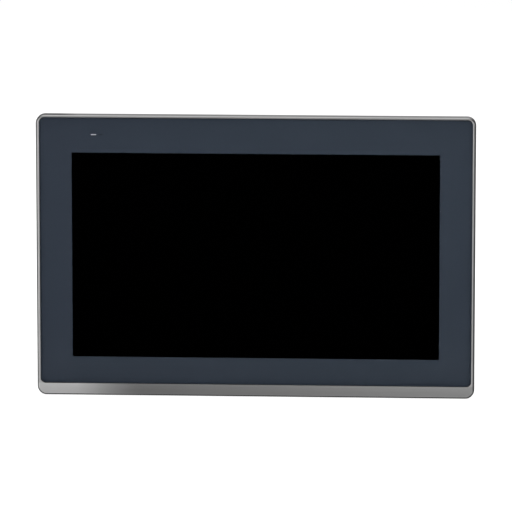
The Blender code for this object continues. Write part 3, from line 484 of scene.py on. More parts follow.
def lathe(profile, start, end, sides=32):
    """A turned body. Its profile gives (radius, share of the way from start to end), from the start on."""
    start, end = Vector(start) * MM, Vector(end) * MM
    across = (end - start).orthogonal().normalized()
    turns = [Matrix.Rotation(2 * math.pi * i / sides, 3, end - start) for i in range(sides)]
    shape = bmesh.new()
    rings = []
    for radius, share in profile:
        centre = start.lerp(end, share)
        places = [centre + turn @ across * radius * MM for turn in turns] if radius else [centre]
        rings.append([shape.verts.new(place) for place in places])
    bridge(shape, rings)
    return shape


def bridge(shape, rings, closed=False):
    """Faces between neighbouring rings of points. A ring of one point is the tip of a fan."""
    for first, second in zip(rings, rings[1:] + (rings[:1] if closed else [])):
        count = max(len(first), len(second))
        for i in range(count):
            j = (i + 1) % count
            corners = [first[i % len(first)], first[j % len(first)],
                       second[j % len(second)], second[i % len(second)]]
            shape.faces.new(list(dict.fromkeys(corners)))
    bmesh.ops.recalc_face_normals(shape, faces=shape.faces)


def inset(section, by, y=None):
    """A section, which is (left, right, bottom, top, corner radius, y), shrunk on all sides."""
    left, right, bottom, top, radius, old_y = section
    return (left + by, right - by, bottom + by, top - by, max(radius - by, 0.05), old_y if y is None else y)


def loft(sections, closed=False):
    """A body through rounded rectangles that face Y. A closed one is a frame; the other has flat ends."""
    shape = bmesh.new()
    rings = []
    for left, right, bottom, top, radius, y in sections:
        ring = []
        corners = ((right, top, -1, -1), (left, top, 1, -1), (left, bottom, 1, 1), (right, bottom, -1, 1))
        for quarter, (x, z, x_in, z_in) in enumerate(corners):
            for i in range(CORNER_STEPS + 1):
                angle = math.radians(90 * (quarter + i / CORNER_STEPS))
                ring.append(shape.verts.new(point(
                    x + radius * (x_in + math.cos(angle)), y, z + radius * (z_in + math.sin(angle)))))
        rings.append(ring)
    if not closed:
        shape.faces.new(rings[0])
        shape.faces.new(rings[-1])
    bridge(shape, rings, closed)
    return shape


def rounded_edge(section, width, depth, y_edge, inwards=1, steps=6):
    """Sections that round an edge: from the side, depth behind y_edge, over to width in from it."""
    turns = [math.pi / 2 * i / steps for i in range(steps + 1)]
    return [inset(section, width * (1 - math.cos(turn)), y_edge + inwards * depth * (1 - math.sin(turn)))
            for turn in turns]


def mesh_of(name, shape):
    mesh = bpy.data.meshes.new(name)
    shape.to_mesh(mesh)
    shape.free()
    return mesh


def shown(name, data):
    obj = bpy.data.objects.new(name, data)
    bpy.context.scene.collection.objects.link(obj)
    return obj


def merged(*shapes):
    """Several shapes as one, without joining their surfaces."""
    result = bmesh.new()
    for shape in shapes:
        mesh = mesh_of("part", shape)
        result.from_mesh(mesh)
        bpy.data.meshes.remove(mesh)
    return result


def cut(shape, *cutters):
    """The shape less the cutters. The cutters may touch or overlap one another."""
    objects = [shown("part", mesh_of("part", source)) for source in (shape, merged(*cutters))]
    modifier = objects[0].modifiers.new("cut", "BOOLEAN")
    modifier.operation = "DIFFERENCE"
    modifier.solver = "EXACT"
    modifier.use_self = True
    modifier.object = objects[1]
    graph = bpy.context.evaluated_depsgraph_get()
    mesh = bpy.data.meshes.new_from_object(objects[0].evaluated_get(graph))
    result = bmesh.new()
    result.from_mesh(mesh)
    for obj in objects:
        bpy.data.objects.remove(obj)
    bpy.data.meshes.remove(mesh)
    return result


# Pieces
def finish(obj, material, bevel=None, sharp=35):
    """Gives an object its material and clean shading. A bevel, even of 0, also joins faces that lie flat."""
    obj.data.materials.clear()
    obj.data.materials.append(MATERIALS[material])
    obj.data.shade_smooth()
    obj.data.set_sharp_from_angle(angle=math.radians(sharp))
    if bevel is not None:
        flatten = obj.modifiers.new("flatten", "DECIMATE")
        flatten.decimate_type = "DISSOLVE"
        flatten.angle_limit = math.radians(1)
    if bevel:
        soften = obj.modifiers.new("soften", "BEVEL")
        soften.width = bevel * MM
        soften.segments = 3
        soften.limit_method = "ANGLE"
        soften.angle_limit = math.radians(30)
        soften.harden_normals = True
        soften.miter_outer = "MITER_ARC"
    obj.modifiers.new("flat", "WEIGHTED_NORMAL").keep_sharp = True


def piece(name, shapes, material, replaces=None, body="housing", bevel=None, sharp=35):
    """A shown piece of one shape or a list of them. It rides on a body and may stand for a solid."""
    shape = merged(*shapes) if isinstance(shapes, list) else shapes
    obj = shown(name, mesh_of(name, shape))
    finish(obj, material, bevel, sharp)
    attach(obj, body)
    if replaces:
        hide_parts(replaces)
    return obj


# Solids whose shapes are right, with the finish of each and the width of its softened edges
KEPT = {
    "border_film": ("print", 0), "touch_seal": ("foam", 0), "touch_flex": ("amber", 0),
    "lcd_frame": ("bright", 0.15), "lcd_cell": ("display", 0), "backlight_unit": ("backlight", 0.3),
    "lcd_bracket_left": ("steel", 0.2), "lcd_bracket_right": ("steel", 0.2), "tcon_board": ("board", 0.1),
    "main_board": ("mainboard", 0.1), "heat_sink": ("sink", 0.25), "battery_holder": ("black", 0.2),
    "coin_cell": ("tinned", 0.3), "display_cable": ("jacket", 0), "card_socket": ("tinned", 0.2),
    "memory_card": ("card", 0.2), "ethernet_jack_1": ("tinned", 0.15), "ethernet_jack_2": ("tinned", 0.15),
    "power_header": ("green", 0.15), "power_plug": ("green", 0.3), "mode_slider": ("button", 0.2),
}


def finish_kept():
    for node, (material, bevel) in KEPT.items():
        finish(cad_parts[node], material, bevel)


def box(node):
    """A solid's lowest and highest corner, in millimetres."""
    low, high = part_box(node)
    return low / MM, high / MM


def middle(node):
    low, high = box(node)
    return (low + high) / 2


def section_of(node, radius, y):
    low, high = box(node)
    return (low.x, high.x, low.z, high.z, radius, y)


# Front
def build_bezel():
    low, high = box("front_bezel")
    glass_low, glass_high = box("touch_glass")
    gap, right_gap = 0.08, 0.2
    front, floor = low.y, 4.0
    seat = high.y - 5.9  # the back face that lies against the cabinet
    lip = seat - 0.2
    outer = (low.x, high.x, low.z, high.z, 8.5, seat)
    pocket = (glass_low.x - gap, glass_high.x + right_gap, glass_low.z - gap, glass_high.z + gap, 5.1, floor)
    opening = (-183.0, 183.0, -109.05, 109.05, 1.0, floor)
    rib = (-193.4, 193.4, -121.4, 121.4, 2.0, seat)
    groove = (-202.6, 202.6, -130.2, 130.2, 6.0, 6.0)
    sections = [
        inset(outer, 0.3), inset(outer, 0.0, seat - 0.3), *rounded_edge(outer, 1.8, 1.5, front, steps=8),
        inset(pocket, -0.2, front), inset(pocket, 0.0, front + 0.2), pocket, opening,
        inset(opening, 0, lip), inset(rib, 2.5, lip), inset(rib, 2.5, high.y),
        inset(rib, 0.4, high.y), inset(rib, 0.0, high.y - 0.4), rib,
        inset(groove, 5.4, seat), inset(groove, 5.4), groove, inset(groove, 0, seat),
    ]
    shape = cut(loft(sections, closed=True), *bezel_openings(seat))
    piece("bezel", shape, "silver", "front_bezel", sharp=50)


def bezel_openings(seat):
    """The holes for the status light and the touch sensor's tail, and the rib's screw holes."""
    lens_low, lens_high = box("status_led_lens")
    flex_low, flex_high = box("touch_flex")
    return [
        block((lens_low.x - 0.4, 3, lens_low.z - 0.4), (lens_high.x + 0.4, seat + 1, lens_high.z + 0.4)),
        block((flex_low.x - 1, 3, flex_low.z - 0.8), (flex_high.x + 1, seat + 1, flex_low.z + 1.2)),
        *(rod((x, FLANGE_SCREW_Y, side * 116), (x, FLANGE_SCREW_Y, side * 124), 1.8)
          for x in FLANGE_SCREW_X for side in SIDES),
    ]


def build_glass():
    sheet = section_of("touch_glass", 5.0, 0.0)
    back = box("touch_glass")[1].y
    sections = [inset(sheet, 0.2, back), inset(sheet, 0, back - 0.2)]
    sections += rounded_edge(sheet, 0.35, 0.35, 0.0, steps=4)
    piece("cover_glass", loft(sections), "glass", "touch_glass").visible_shadow = False
    ring = [inset(sheet, by, back + y) for by, y in ((0.05, 0.02), (0.05, 0.2), (1.2, 0.2), (1.2, 0.02))]
    piece("print_edge", loft(ring, closed=True), "print")


def build_status_light():
    """The light bar in its mask, its light pipe, and the dark window of the light sensor beside it."""
    film = box("border_film")[0].y
    low, high = box("status_led_lens")
    x = middle("status_led_lens").x
    bar = plaque(x, LIGHT_Z, 2.5, 0.44, film, 5.0, 0.3)
    pipe = slab((low.x, 4.3, low.z), high, 0.4, "Y", 4)
    piece("light_bar", [bar, pipe], "light", "status_led_lens")
    mask = cut(plaque(x, 114.15, 4.0, 1.75, film - 0.2, film - 0.05, 0.5, 3),
               plaque(x, LIGHT_Z, 2.5, 0.44, 1.0, 3.0, 0.3))
    piece("light_mask", mask, "print")
    piece("light_sensor", plaque(-144.6, LIGHT_Z, 1.8, 0.35, film - 0.2, film - 0.05, 0.3), "sensor")


def build_gasket():
    """A double-lipped rubber seal, lying in the bezel's groove."""
    low, high = box("panel_gasket")
    ring = section_of("panel_gasket", 6.0, low.y)
    width, steps = 4.6, 20
    sections = [ring]
    for i in range(steps + 1):
        lips = abs(math.sin(2 * math.pi * i / steps)) ** 0.7
        sections.append(inset(ring, width * i / steps, high.y - 1.0 + lips))
    sections.append(inset(ring, width))
    piece("gasket", loft(sections, closed=True), "rubber", "panel_gasket", sharp=80)


# Chassis
def build_chassis():
    low, high = box("rear_chassis")
    back = box("io_cover")[0].y - 0.3
    tray = section_of("rear_chassis", 2.5, low.y)
    inner = inset(tray, SHEET)
    shape = loft([
        inset(inner, 0.8, back - SHEET), inset(inner, 0.0, back - SHEET - 0.8), inset(inner, 0, low.y + 0.2),
        inset(inner, -0.2), inset(tray, 0.2), inset(tray, 0, low.y + 0.2),
        *rounded_edge(tray, 2.0, 2.0, back, inwards=-1),
    ])
    cutters = [slab((-70, 20, -50), (70, 35, 45), 3)]
    for side in SIDES:
        cutters += [stadium(15.0 * (i - 9.5), side * 101.0, 3.0, 22.0, 20, 35) for i in range(20)]
        cutters += [rod((x, FLANGE_SCREW_Y, side * 120), (x, FLANGE_SCREW_Y, side * 126), 1.8)
                    for x in FLANGE_SCREW_X]
        cutters += [corner_relief(x_side, side, high) for x_side in SIDES]
    cutters += [moved(block((-6, 19.7, -4), (6, 24.0, 4)), place) for place in clamp_frames().values()]
    cutters += [rod((x, 20, z), (x, 35, z), 2.2) for x, z in ((-150, 60), (150, 60), (-150, -60), (150, -60))]
    posts = []
    for x, z in [(x, z) for x in (-94.0, 94.0) for z in (-74.0, 64.0)]:
        posts += [rod((x, back - 0.5, z), (x, 39.7, z), 3.0), rod((x, 39, z), (x, high.y, z), 1.3)]
    piece("chassis", [cut(shape, *cutters), *posts], "steel", "rear_chassis")
    build_chassis_trim(back)


def corner_relief(x_side, z_side, high):
    """The slit where two flanges meet at a folded corner, ending in a small round relief."""
    x, z = x_side * (high.x - 2.8), z_side * high.z
    inner = z - z_side * 1.6
    slit = block((x - 0.2, 0, min(z, inner)), (x + 0.2, 25.2, max(z, inner) + 1))
    return merged(slit, rod((x, 25.0, z - z_side * 1.8), (x, 25.0, z + z_side), 0.8, 16))


def build_chassis_trim(back):
    """Pressed stiffening beads, rivets and the earth mark on the chassis's back."""
    beads = []
    for side in SIDES:
        beads += [bead((side * x, back, -42), (side * x, back, 42), 2.6, 0.9) for x in (134.0, 152.0, 170.0)]
        beads.append(bead((-160, back, side * 84.8), (160, back, side * 84.8), 1.6, 0.6))
    piece("pressed_beads", beads, "steel", sharp=60)
    places = [(x, z) for x in (-180, 180) for z in (-108, 0, 108)] + [(x, -118) for x in (-120, 0, 120)]
    piece("rivets", [rivet(x, back, z) for x, z in places], "zinc", sharp=60)
    x, z, top = 128.0, -52.0, back + 0.06
    bars = [block((x - w, back, z - 1.6 * i - 0.25), (x + w, top, z - 1.6 * i + 0.25))
            for i, w in enumerate((3.0, 2.0, 1.0))]
    stem = block((x - 0.25, back, z), (x + 0.25, top, z + 3.0))
    piece("earth_mark", [stem, *bars], "dark_ink")


def bead(start, end, half_width, height):
    """A long low dome, as a press leaves in sheet metal."""
    start, end, up = Vector(start), Vector(end), Vector((0, 1, 0))
    along = (end - start).normalized()
    across = up.cross(along)
    steps, arc = 10, 8
    shape = bmesh.new()
    rings = []
    for centre, half_turn in ((start, 0), (end, math.pi)):
        for i in range(steps + 1):
            angle = half_turn + math.pi * i / steps + math.pi / 2
            outwards = (along * math.cos(angle) + across * math.sin(angle)) * half_width
            ring = []
            for rise in [math.pi / 2 * k / arc for k in range(arc + 1)]:
                place = centre + outwards * math.cos(rise) + up * (height * math.sin(rise) - 0.05)
                ring.append(shape.verts.new(place * MM))
            rings.append(ring)
    for first, second in zip(rings, rings[1:] + rings[:1]):
        for k in range(arc):
            shape.faces.new((first[k], first[k + 1], second[k + 1], second[k]))
    shape.faces.new([ring[0] for ring in rings])
    bmesh.ops.remove_doubles(shape, verts=shape.verts, dist=1e-6)
    bmesh.ops.recalc_face_normals(shape, faces=shape.faces)
    return shape


def rivet(x, y, z):
    profile = [(0, 1.0), (1.1, 0.96), (1.9, 0.7), (2.3, 0.3), (2.4, 0.0), (0, 0.0)]
    return lathe(profile, (x, y - 0.05, z), (x, y + 0.9, z), 24)


# Rear cover
def build_cover():
    front = box("io_cover")[0].y
    outer = (-105.0, 105.0, -85.0, 75.0, 3.0, front)
    inner = inset(outer, WALL)
    shape = loft([
        inset(inner, 1.0, COVER_BACK - WALL), inset(inner, 0, COVER_BACK - WALL - 1),
        inset(inner, 0, front + 0.2), inset(inner, -0.2), inset(outer, 0.3), inset(outer, 0, front + 0.3),
        *rounded_edge(outer, 1.6, 1.6, COVER_BACK, inwards=-1),
    ])
    shape = cut(shape, *cover_cutters())
    piece("rear_cover", [shape, window_frame(), *cover_lugs(), *cover_ears(front)], "cover", "io_cover")
    build_port_ticks()
    build_label()


def cover_cutters():
    """The cover's openings and the shallow grooves on its back."""
    low, high = box("heat_sink")
    button = middle("reset_button")
    below, above = PORT_WALL
    return [
        slab((low.x - 1.5, 50, low.z - 1.5), (high.x + 1.5, 70, high.z + 1.5), 2.0),
        slab((56, 50, 17), (84, 70, 43), 1.5),  # battery
        slab((-115, 40, -66), (-95, 50, -28), 1.5, "X"),  # memory card
        *(slab((x, 36, 70), (x + 3, 54, 80), 1.45, "Z") for x in range(-84, 85, 8)),  # vents in the top wall
        *(stadium(x + 1.3, -55.0, 2.6, 22.0, 55, 70) for x in range(-60, 21, 8)),  # vents in the back
        *(port_hole(node) for node in PORTS),
        block((37.1, 43.2, below), (55.9, 53.8, above)),  # serial port
        *(rod((x, 48.5, below), (x, 48.5, above), 2.9) for x in SERIAL_SCREWS),
        rod((button.x, button.y, below), (button.x, button.y, above), 1.9),
        slab((-39.6, 46.6, below), (-33.9, 49.4, above), 0.6, "Z", 3),  # mode slider
        *(stadium(x, 60.0, 46.0, 1.6, COVER_BACK - 0.5, COVER_BACK + 2) for x in (-68.0, 20.0)),
        *(stadium(0, z, 176.0, 1.2, COVER_BACK - 0.4, COVER_BACK + 2) for z in (-76.0, 68.5)),
    ]


def port_hole(node):
    low, high = box(node)
    room = 0.4
    return block((low.x - room, low.y - room, PORT_WALL[0]), (high.x + room, high.y + room, PORT_WALL[1]))


def window_frame():
    """The raised lip round the heat sink's window."""
    lip = inset(section_of("heat_sink", 0.5, COVER_BACK), -1.5)
    profile = ((0, -0.3), (0, 0.4), (-0.4, 0.8), (-1.4, 0.8), (-1.8, 0.4), (-1.8, -0.3))
    return loft([inset(lip, by, COVER_BACK + y) for by, y in profile], closed=True)


def cover_lugs():
    """The pierced ears that carry the two doors' hinge pins."""
    x, y = CARD_HINGE
    lugs = [cut(slab((x - 1.3, y - 1.5, z - 1.3), (x + 2.2, y + 1.5, z + 1.3), 1.2, "Z", 5),
                rod((x, y, z - 3), (x, y, z + 3), 0.85, 20)) for z in (-70.6, -23.4)]
    y, z = BATTERY_HINGE
    lugs += [cut(slab((x - 1.3, y - 2.2, z - 1.5), (x + 1.3, y + 1.3, z + 1.5), 1.2, "X", 5),
                 rod((x - 3, y, z), (x + 3, y, z), 0.85, 20)) for x in (51.4, 88.6)]
    return lugs


def cover_ears(front):
    """The two fixing ears, each with a screw hole and two small gussets to the wall."""
    ears = []
    for side in SIDES:
        x, z = side * 109.2, -10.0
        ears.append(cut(plaque(x, z, 5, 8, front, front + 2.0, 2.0, 8),
                        rod((x, front - 5, z), (x, front + 5, z), 1.8)))
        ears += [gusset(side, front + 2.0, z + dz) for dz in (-6.6, 6.6)]
    return ears


def gusset(side, y, z):
    shape = bmesh.new()
    points = ((side * 104.6, y - 0.2), (side * 111.5, y - 0.2), (side * 104.6, y + 9.0))
    rings = [[shape.verts.new(point(x, py, z + dz)) for x, py in points] for dz in (-0.7, 0.7)]
    for ring in rings:
        shape.faces.new(ring)
    bridge(shape, rings)
    return shape


def build_port_ticks():
    """Faint raised marks beside the ports: one bar a port."""
    ticks = []
    for node in (PORTS[0], "serial_port", *PORTS[1:]):
        x = middle(node).x
        ticks.append(block((x - 2.4, COVER_BACK - 0.02, -81.6), (x + 2.4, COVER_BACK + 0.05, -80.9)))
    piece("port_ticks", ticks, "ink")


def build_label():
    """A blank rating label: a thin plate ruled into empty rows and two columns."""
    outline, margin, line = (36.0, 94.0, -52.0, -18.0, 2.0), 3, 0.15
    left, right, bottom, top = (outline[i] + margin * way for i, way in enumerate((1, -1, 1, -1)))
    piece("label_plate", loft([(*outline, COVER_BACK - 0.02), (*outline, COVER_BACK + 0.12)]), "label")
    low, high = COVER_BACK + 0.1, COVER_BACK + 0.15
    rows = [bottom + (top - bottom) * i / 5 for i in range(6)]
    rules = [block((left, low, z - line), (right, high, z + line)) for z in rows]
    rules += [block((x - line, low, bottom), (x + line, high, top)) for x in (left, 58.0, right)]
    piece("label_rules", rules, "dark_ink")


def build_doors():
    """The two snap-on doors: a rounded lid, its hinge barrel and pin, a ribbed grip and a snap."""
    x, y = CARD_HINGE
    low, high, edge = -69.0, -25.0, 52.0
    piece("card_door_lid", [
        block((x - 0.5, y + 0.2, low), (-105.3, edge, high), 0.35),
        rod((x, y, low + 0.1), (x, y, high - 0.1), 0.85),
        rod((x, y, low - 2.4), (x, y, high + 2.4), 0.55),
        block((-105.5, edge - 4.2, -50), (-103.2, edge - 3.0, -44), 0.3),
        *(block((x - 1.2, edge - 1.4 - 1.3 * i, -54), (x + 0.1, edge - 0.7 - 1.3 * i, -40), 0.3)
          for i in range(3)),
    ], "door", "card_door", "card_door")
    y, z = BATTERY_HINGE
    low, high, edge = 53.0, 87.0, 46.0
    ring = (57.6, 82.4, 19.0, 38.0, 2.0, y)
    ridge = [inset(ring, by, y + dy) for by, dy in ((0, 0.4), (0, 0.75), (0.6, 0.75), (0.6, 0.4))]
    piece("battery_door_lid", [
        block((low, 62.3, z + 0.2), (high, y + 0.5, edge), 0.35),
        rod((low + 0.1, y, z), (high - 0.1, y, z), 0.85),
        rod((low - 2.4, y, z), (high + 2.4, y, z), 0.55),
        block((67, 60.2, edge - 5.2), (73, 62.6, edge - 4.0), 0.3),
        loft(ridge, closed=True),
        *(block((63, y, edge - 1.8 - 1.5 * i), (77, y + 1.3, edge - 1.0 - 1.5 * i), 0.35)
          for i in range(3)),
    ], "door", "battery_door", "battery_door")


# Ports
def build_card_grip():
    """The ridges on the memory card by which it is drawn out."""
    low, high = box("memory_card")
    ridges = [block((x, high.y - 0.05, -53), (x + 0.6, high.y + 0.12, -41), 0.05, 1)
              for x in [low.x + 0.6 + 1.1 * i for i in range(4)]]
    piece("card_grip", ridges, "card", body="memory_card")


def build_jacks():
    for i in (1, 2):
        node = f"ethernet_jack_{i}"
        low, high = box(node)
        mid, mouth = middle(node).x, low.z
        face = slab((low.x + 0.5, low.y + 0.5, mouth - 0.15), (high.x - 0.5, high.y - 0.5, mouth + 0.3),
                    0.4, "Z", 3)
        face = cut(face, block((mid - 5.9, low.y + 1.8, mouth - 1), (mid + 5.9, low.y + 8.6, mouth + 1)),
                   block((mid - 3.2, low.y + 8.0, mouth - 1), (mid + 3.2, low.y + 11.6, mouth + 1)))
        piece(f"jack_face_{i}", face, "black")
        tilt = shift(0, low.y + 2.3, mouth + 1.5) @ spin(-14, "X")
        contacts = [moved(block((x - 0.2, 0, 0), (x + 0.2, 0.25, 9.0)), tilt)
                    for x in [mid + 1.02 * (k - 3.5) for k in range(8)]]
        piece(f"jack_contacts_{i}", contacts, "gold")
        for name, x, material in (("left", mid - 5.4, "lamp_green"), ("right", mid + 5.4, "lamp_amber")):
            lamp = block((x - 1.3, high.y - 3.6, mouth - 0.2), (x + 1.3, high.y - 1.6, mouth + 0.1), 0.1, 2)
            piece(f"jack_lamp_{name}_{i}", lamp, material)


def build_usb():
    low, high = box("usb_ports")
    mid, mouth = middle("usb_ports").x, low.z
    rows = (low.y + 1.3, high.y - 1.3 - 5.4)
    shell = cut(slab(low, high, 0.5, "Z", 3),
                *(block((mid - 6.3, y, mouth - 1), (mid + 6.3, y + 5.4, mouth + 12.0)) for y in rows))
    dimples = [moved(block((-0.9, 0, 0), (0.9, 0.25, 4.5), 0.1, 2), shift(mid + dx, y + 5.2, mouth + 2.0))
               for y in rows for dx in (-3.2, 3.2)]
    piece("usb_shell", [shell, *dimples], "tinned", "usb_ports")
    tongues = [block((mid - 5.5, y + 0.7, mouth + 0.8), (mid + 5.5, y + 2.5, mouth + 12.0), 0.2, 2)
               for y in rows]
    piece("usb_tongues", tongues, "tongue")
    contacts = [block((x - 0.5, y + 2.45, mouth + 1.6), (x + 0.5, y + 2.6, mouth + 9.0))
                for y in rows for x in [mid + 2.3 * (k - 1.5) for k in range(4)]]
    piece("usb_contacts", contacts, "gold")


def build_serial():
    low, high = box("serial_port")
    mouth, inside = low.z, -83.2
    shell = cut(d_prism(mouth, inside + 1, 0), d_prism(mouth - 1, inside - 0.3, 0.7))
    dimple = [(0, 1.0), (0.5, 0.8), (0.8, 0.0), (0, 0.0)]
    dimples = [lathe(dimple, (x, 53.15, mouth + 2.6), (x, 53.5, mouth + 2.6), 16)
               for x in (SERIAL_X - 5, SERIAL_X, SERIAL_X + 5)]
    flange = cut(slab((30, 42.2, inside), (63, 54.8, inside + 1.2), 1.0, "Z", 4),
                 block((38.3, 44.4, inside - 1), (54.7, 52.6, inside + 0.6)))
    piece("serial_shell", [shell, flange, *dimples], "tinned", "serial_port")
    body = slab((31, 43, inside + 1.2), (62, 54, high.z), 1.0, "Z", 4)
    piece("serial_body", [body, d_prism(inside - 0.9, inside + 1, 0.9)], "black")
    pin = [(0, 0.0), (0.3, 0.0), (0.5, 0.08), (0.5, 1.0), (0, 1.0)]
    pins = []
    for y, count in ((49.9, 5), (47.1, 4)):
        for x in [SERIAL_X + 2.77 * (k - (count - 1) / 2) for k in range(count)]:
            pins.append(lathe(pin, (x, y, mouth + 1.0), (x, y, inside), 16))
    piece("serial_pins", pins, "gold")
    stud = [(0, 0.5), (1.1, 0.5), (1.1, 0.03), (1.3, 0.0), (2.15, 0.0), (2.5, 0.08), (2.5, 1.0), (0, 1.0)]
    studs = [lathe(stud, (x, 48.5, -89.5), (x, 48.5, inside), 6) for x in SERIAL_SCREWS]
    piece("serial_standoffs", studs, "zinc", sharp=20)


def d_prism(start, end, shrink):
    """A prism along Z with the serial connector's D outline."""
    left, right, narrow, wide = 37.7 + shrink, 55.3 - shrink, 43.8 + shrink, 53.2 - shrink
    lean = (53.2 - 43.8) * math.tan(math.radians(10))
    shape = slab((left, narrow, start), (right, wide, end), 1.0, "Z", 5)
    for vertex in shape.verts:
        share = (wide - vertex.co.y / MM) / (wide - narrow)
        vertex.co.x += lean * share * MM * (1 if vertex.co.x < (left + right) / 2 * MM else -1)
    return shape


def build_power():
    plug_y = box("power_plug")[0].y
    for i in (1, 2, 3):
        body = f"terminal_screw_{i}"
        low, high = box(body)
        x, _, z = middle(body)
        r = (high.x - low.x) / 2
        head = lathe([(0, 0), (r, 0), (r, 0.85), (r - 0.3, 0.97), (0, 1.0)], (x, low.y, z), (x, high.y, z))
        slot = block((x - 2, high.y - 0.9, z - 0.3), (x + 2, high.y + 1, z + 0.3))
        piece(f"terminal_head_{i}", cut(head, slot), "zinc", body, body)
        cage = cut(block((x - 1.75, plug_y + 1.65, -98.7), (x + 1.75, plug_y + 5.95, -91)),
                   block((x - 1.3, plug_y + 2.1, -99.5), (x + 1.3, plug_y + 5.5, -91.5)))
        piece(f"wire_cage_{i}", cage, "tinned", body="power_plug")
    ribs = [block((x, plug_y - 0.35, -98), (x + 0.6, plug_y + 0.2, -88), 0.15, 2)
            for x in [74 + 1.4 * k for k in range(11)]]
    piece("plug_grip", ribs, "green", body="power_plug")


def build_switches():
    low, high = box("reset_button")
    x, y, _ = middle("reset_button")
    profile = [(0, 0.06), (1.0, 0.03), (1.25, 0.0), (1.5, 0.06), (1.5, 1.0), (0, 1.0)]
    button = [lathe(profile, (x, y, low.z), (x, y, high.z)), rod((x, y, -83.2), (x, y, -81.7), 2.6)]
    piece("reset_cap", button, "button", "reset_button", "reset_button")
    end = box("mode_slider")[0].z
    mid = middle("mode_slider").x
    ribs = [block((x - 0.15, 47.2, end - 0.12), (x + 0.15, 48.8, end + 0.1))
            for x in (mid - 0.6, mid, mid + 0.6)]
    piece("slider_ribs", ribs, "button", body="mode_slider")


# Clamps and screws
def clamp_frames():
    """Where each clamp sits: from its own frame, with the wall at Z 0 and Z outwards, to the panel's."""
    high = box("rear_chassis")[1]
    frames = {}
    for name in CLAMPS:
        centre = middle(f"clamp_bracket_{name}")
        turn = {"top": 0, "right": 90, "bottom": 180, "left": 270}[name.split("_")[0]]
        if turn in (0, 180):
            place = (centre.x, 0, math.copysign(high.z, centre.z))
        else:
            place = (math.copysign(high.x, centre.x), 0, centre.z)
        frames[name] = shift(*place) @ spin(turn)
    return frames


def cross_recess(y, width, depth):
    """The cutter for a cross recess in a head that faces +Y, tapering towards its floor."""
    arms = []
    for turn in (0, 90):
        arm = block((-width, y - depth, -width * 0.24), (width, y + 1, width * 0.24))
        for vertex in arm.verts:
            if vertex.co.y < (y - depth + 0.01) * MM:
                vertex.co.x *= 0.45
        arms.append(moved(arm, spin(turn)))
    return arms


def threaded(radius, start, end, pitch, depth, sides=24):
    """A threaded shank along Y: a helical ridge on a core, with plain ends."""
    shape = bmesh.new()
    rows = int((end - start) / pitch * 6)
    rings = [[shape.verts.new(point(0, start, 0))]]
    for row in range(rows + 1):
        y = start + (end - start) * row / rows
        fade = max(0.0, min(1.0, (y - start) / pitch, (end - y) / pitch))
        taper = 0.35 * max(0.0, 1 - (y - start) / 0.6)
        ring = []
        for i in range(sides):
            ridge = abs(2 * ((y / pitch - i / sides) % 1.0) - 1)
            r = radius - depth * (1 - ridge * fade) - taper
            angle = 2 * math.pi * i / sides
            ring.append(shape.verts.new(point(r * math.cos(angle), y, r * math.sin(angle))))
        rings.append(ring)
    rings.append([shape.verts.new(point(0, end, 0))])
    bridge(shape, rings)
    return shape


def build_clamps():
    reach = 3.8
    low, high = box("clamp_screw_top_left")
    pad_low, pad_high = box("clamp_pad_top_left")
    foot = high.y - 2.0
    profile = [(0, 1.0), (1.5, 1.0), (2.05, 0.88), (2.32, 0.6), (2.4, 0.35), (2.4, 0.0), (0, 0.0)]
    head = cut(lathe(profile, (0, foot, 0), (0, high.y, 0)), *cross_recess(high.y, 1.5, 1.2))
    screw = merged(head, threaded(1.5, low.y, foot + 0.1, 0.7, 0.25))
    parts = (("bracket", clamp_bracket(reach), "cast", 0.25),
             ("pad", moved(clamp_pad(pad_low.y, pad_high.y), shift(z=reach)), "pad", None),
             ("screw", moved(screw, shift(z=reach)), "zinc", None))
    for name, place in clamp_frames().items():
        for part, shape, material, bevel in parts:
            node = f"clamp_{part}_{name}"
            body = "housing" if part == "bracket" else node
            piece(f"{part}_{name}", moved(shape.copy(), place), material, node, body, bevel, 40)


def clamp_pad(front, back):
    """A cup with a ribbed rim that turns on the screw's tip."""
    profile = [(0, 0.03), (1.6, 0.03), (1.7, 0.0), (2.8, 0.0), (3.2, 0.1), (3.2, 0.92), (3.0, 1.0),
               (1.95, 1.0), (1.8, 0.95), (1.8, 0.4), (0, 0.4)]
    grooves = [moved(rod((3.3, front + 0.6, 0), (3.3, back + 1, 0), 0.22, 8), spin(20 * i))
               for i in range(18)]
    return cut(lathe(profile, (0, front, 0), (0, back, 0), 48), *grooves)


def clamp_bracket(reach):
    """A die-cast block with the screw's hole, weight-saving pockets, and a hook through the chassis slot."""
    body = cut(
        slab((-8, 19.0, 0.3), (8, 25.0, 6.6), 1.6, "Y", 5),
        *(plaque(side * 5.1, 3.5, 1.6, 1.9, 20.6, 26.0, 0.6, 3) for side in SIDES),
        *(block((side * 8 - 0.5, 20.5, 2.2), (side * 8 + 0.5, 23.5, 4.7)) for side in SIDES),
        rod((0, 18, reach), (0, 26, reach), 1.8))
    return merged(body, cut(block((-5, 15.0, -3.6), (5, 23.7, 1.0)), block((-6, 14.0, -1.5), (6, 20.0, 2.0))))


def small_screw(name, node, direction, head):
    """A pan-head screw in place of a plain one, with its head towards the given direction."""
    low, high = box(node)
    radius, top = min(high - low) / 2, max(high - low) / 2
    profile = [(0, 1.0), (radius * 0.6, 1.0), (radius * 0.88, 0.8), (radius, 0.35), (radius, 0.0), (0, 0.0)]
    shape = cut(lathe(profile, (0, top - head, 0), (0, top, 0)),
                *cross_recess(top, radius * 0.58, head * 0.62))
    shape = merged(shape, threaded(1.5, -top, top - head + 0.05, 0.5, 0.2, 20))
    turn = Vector((0, 1, 0)).rotation_difference(Vector(direction)).to_matrix().to_4x4()
    piece(name, moved(shape, shift(*middle(node)) @ turn), "zinc", node, sharp=40)


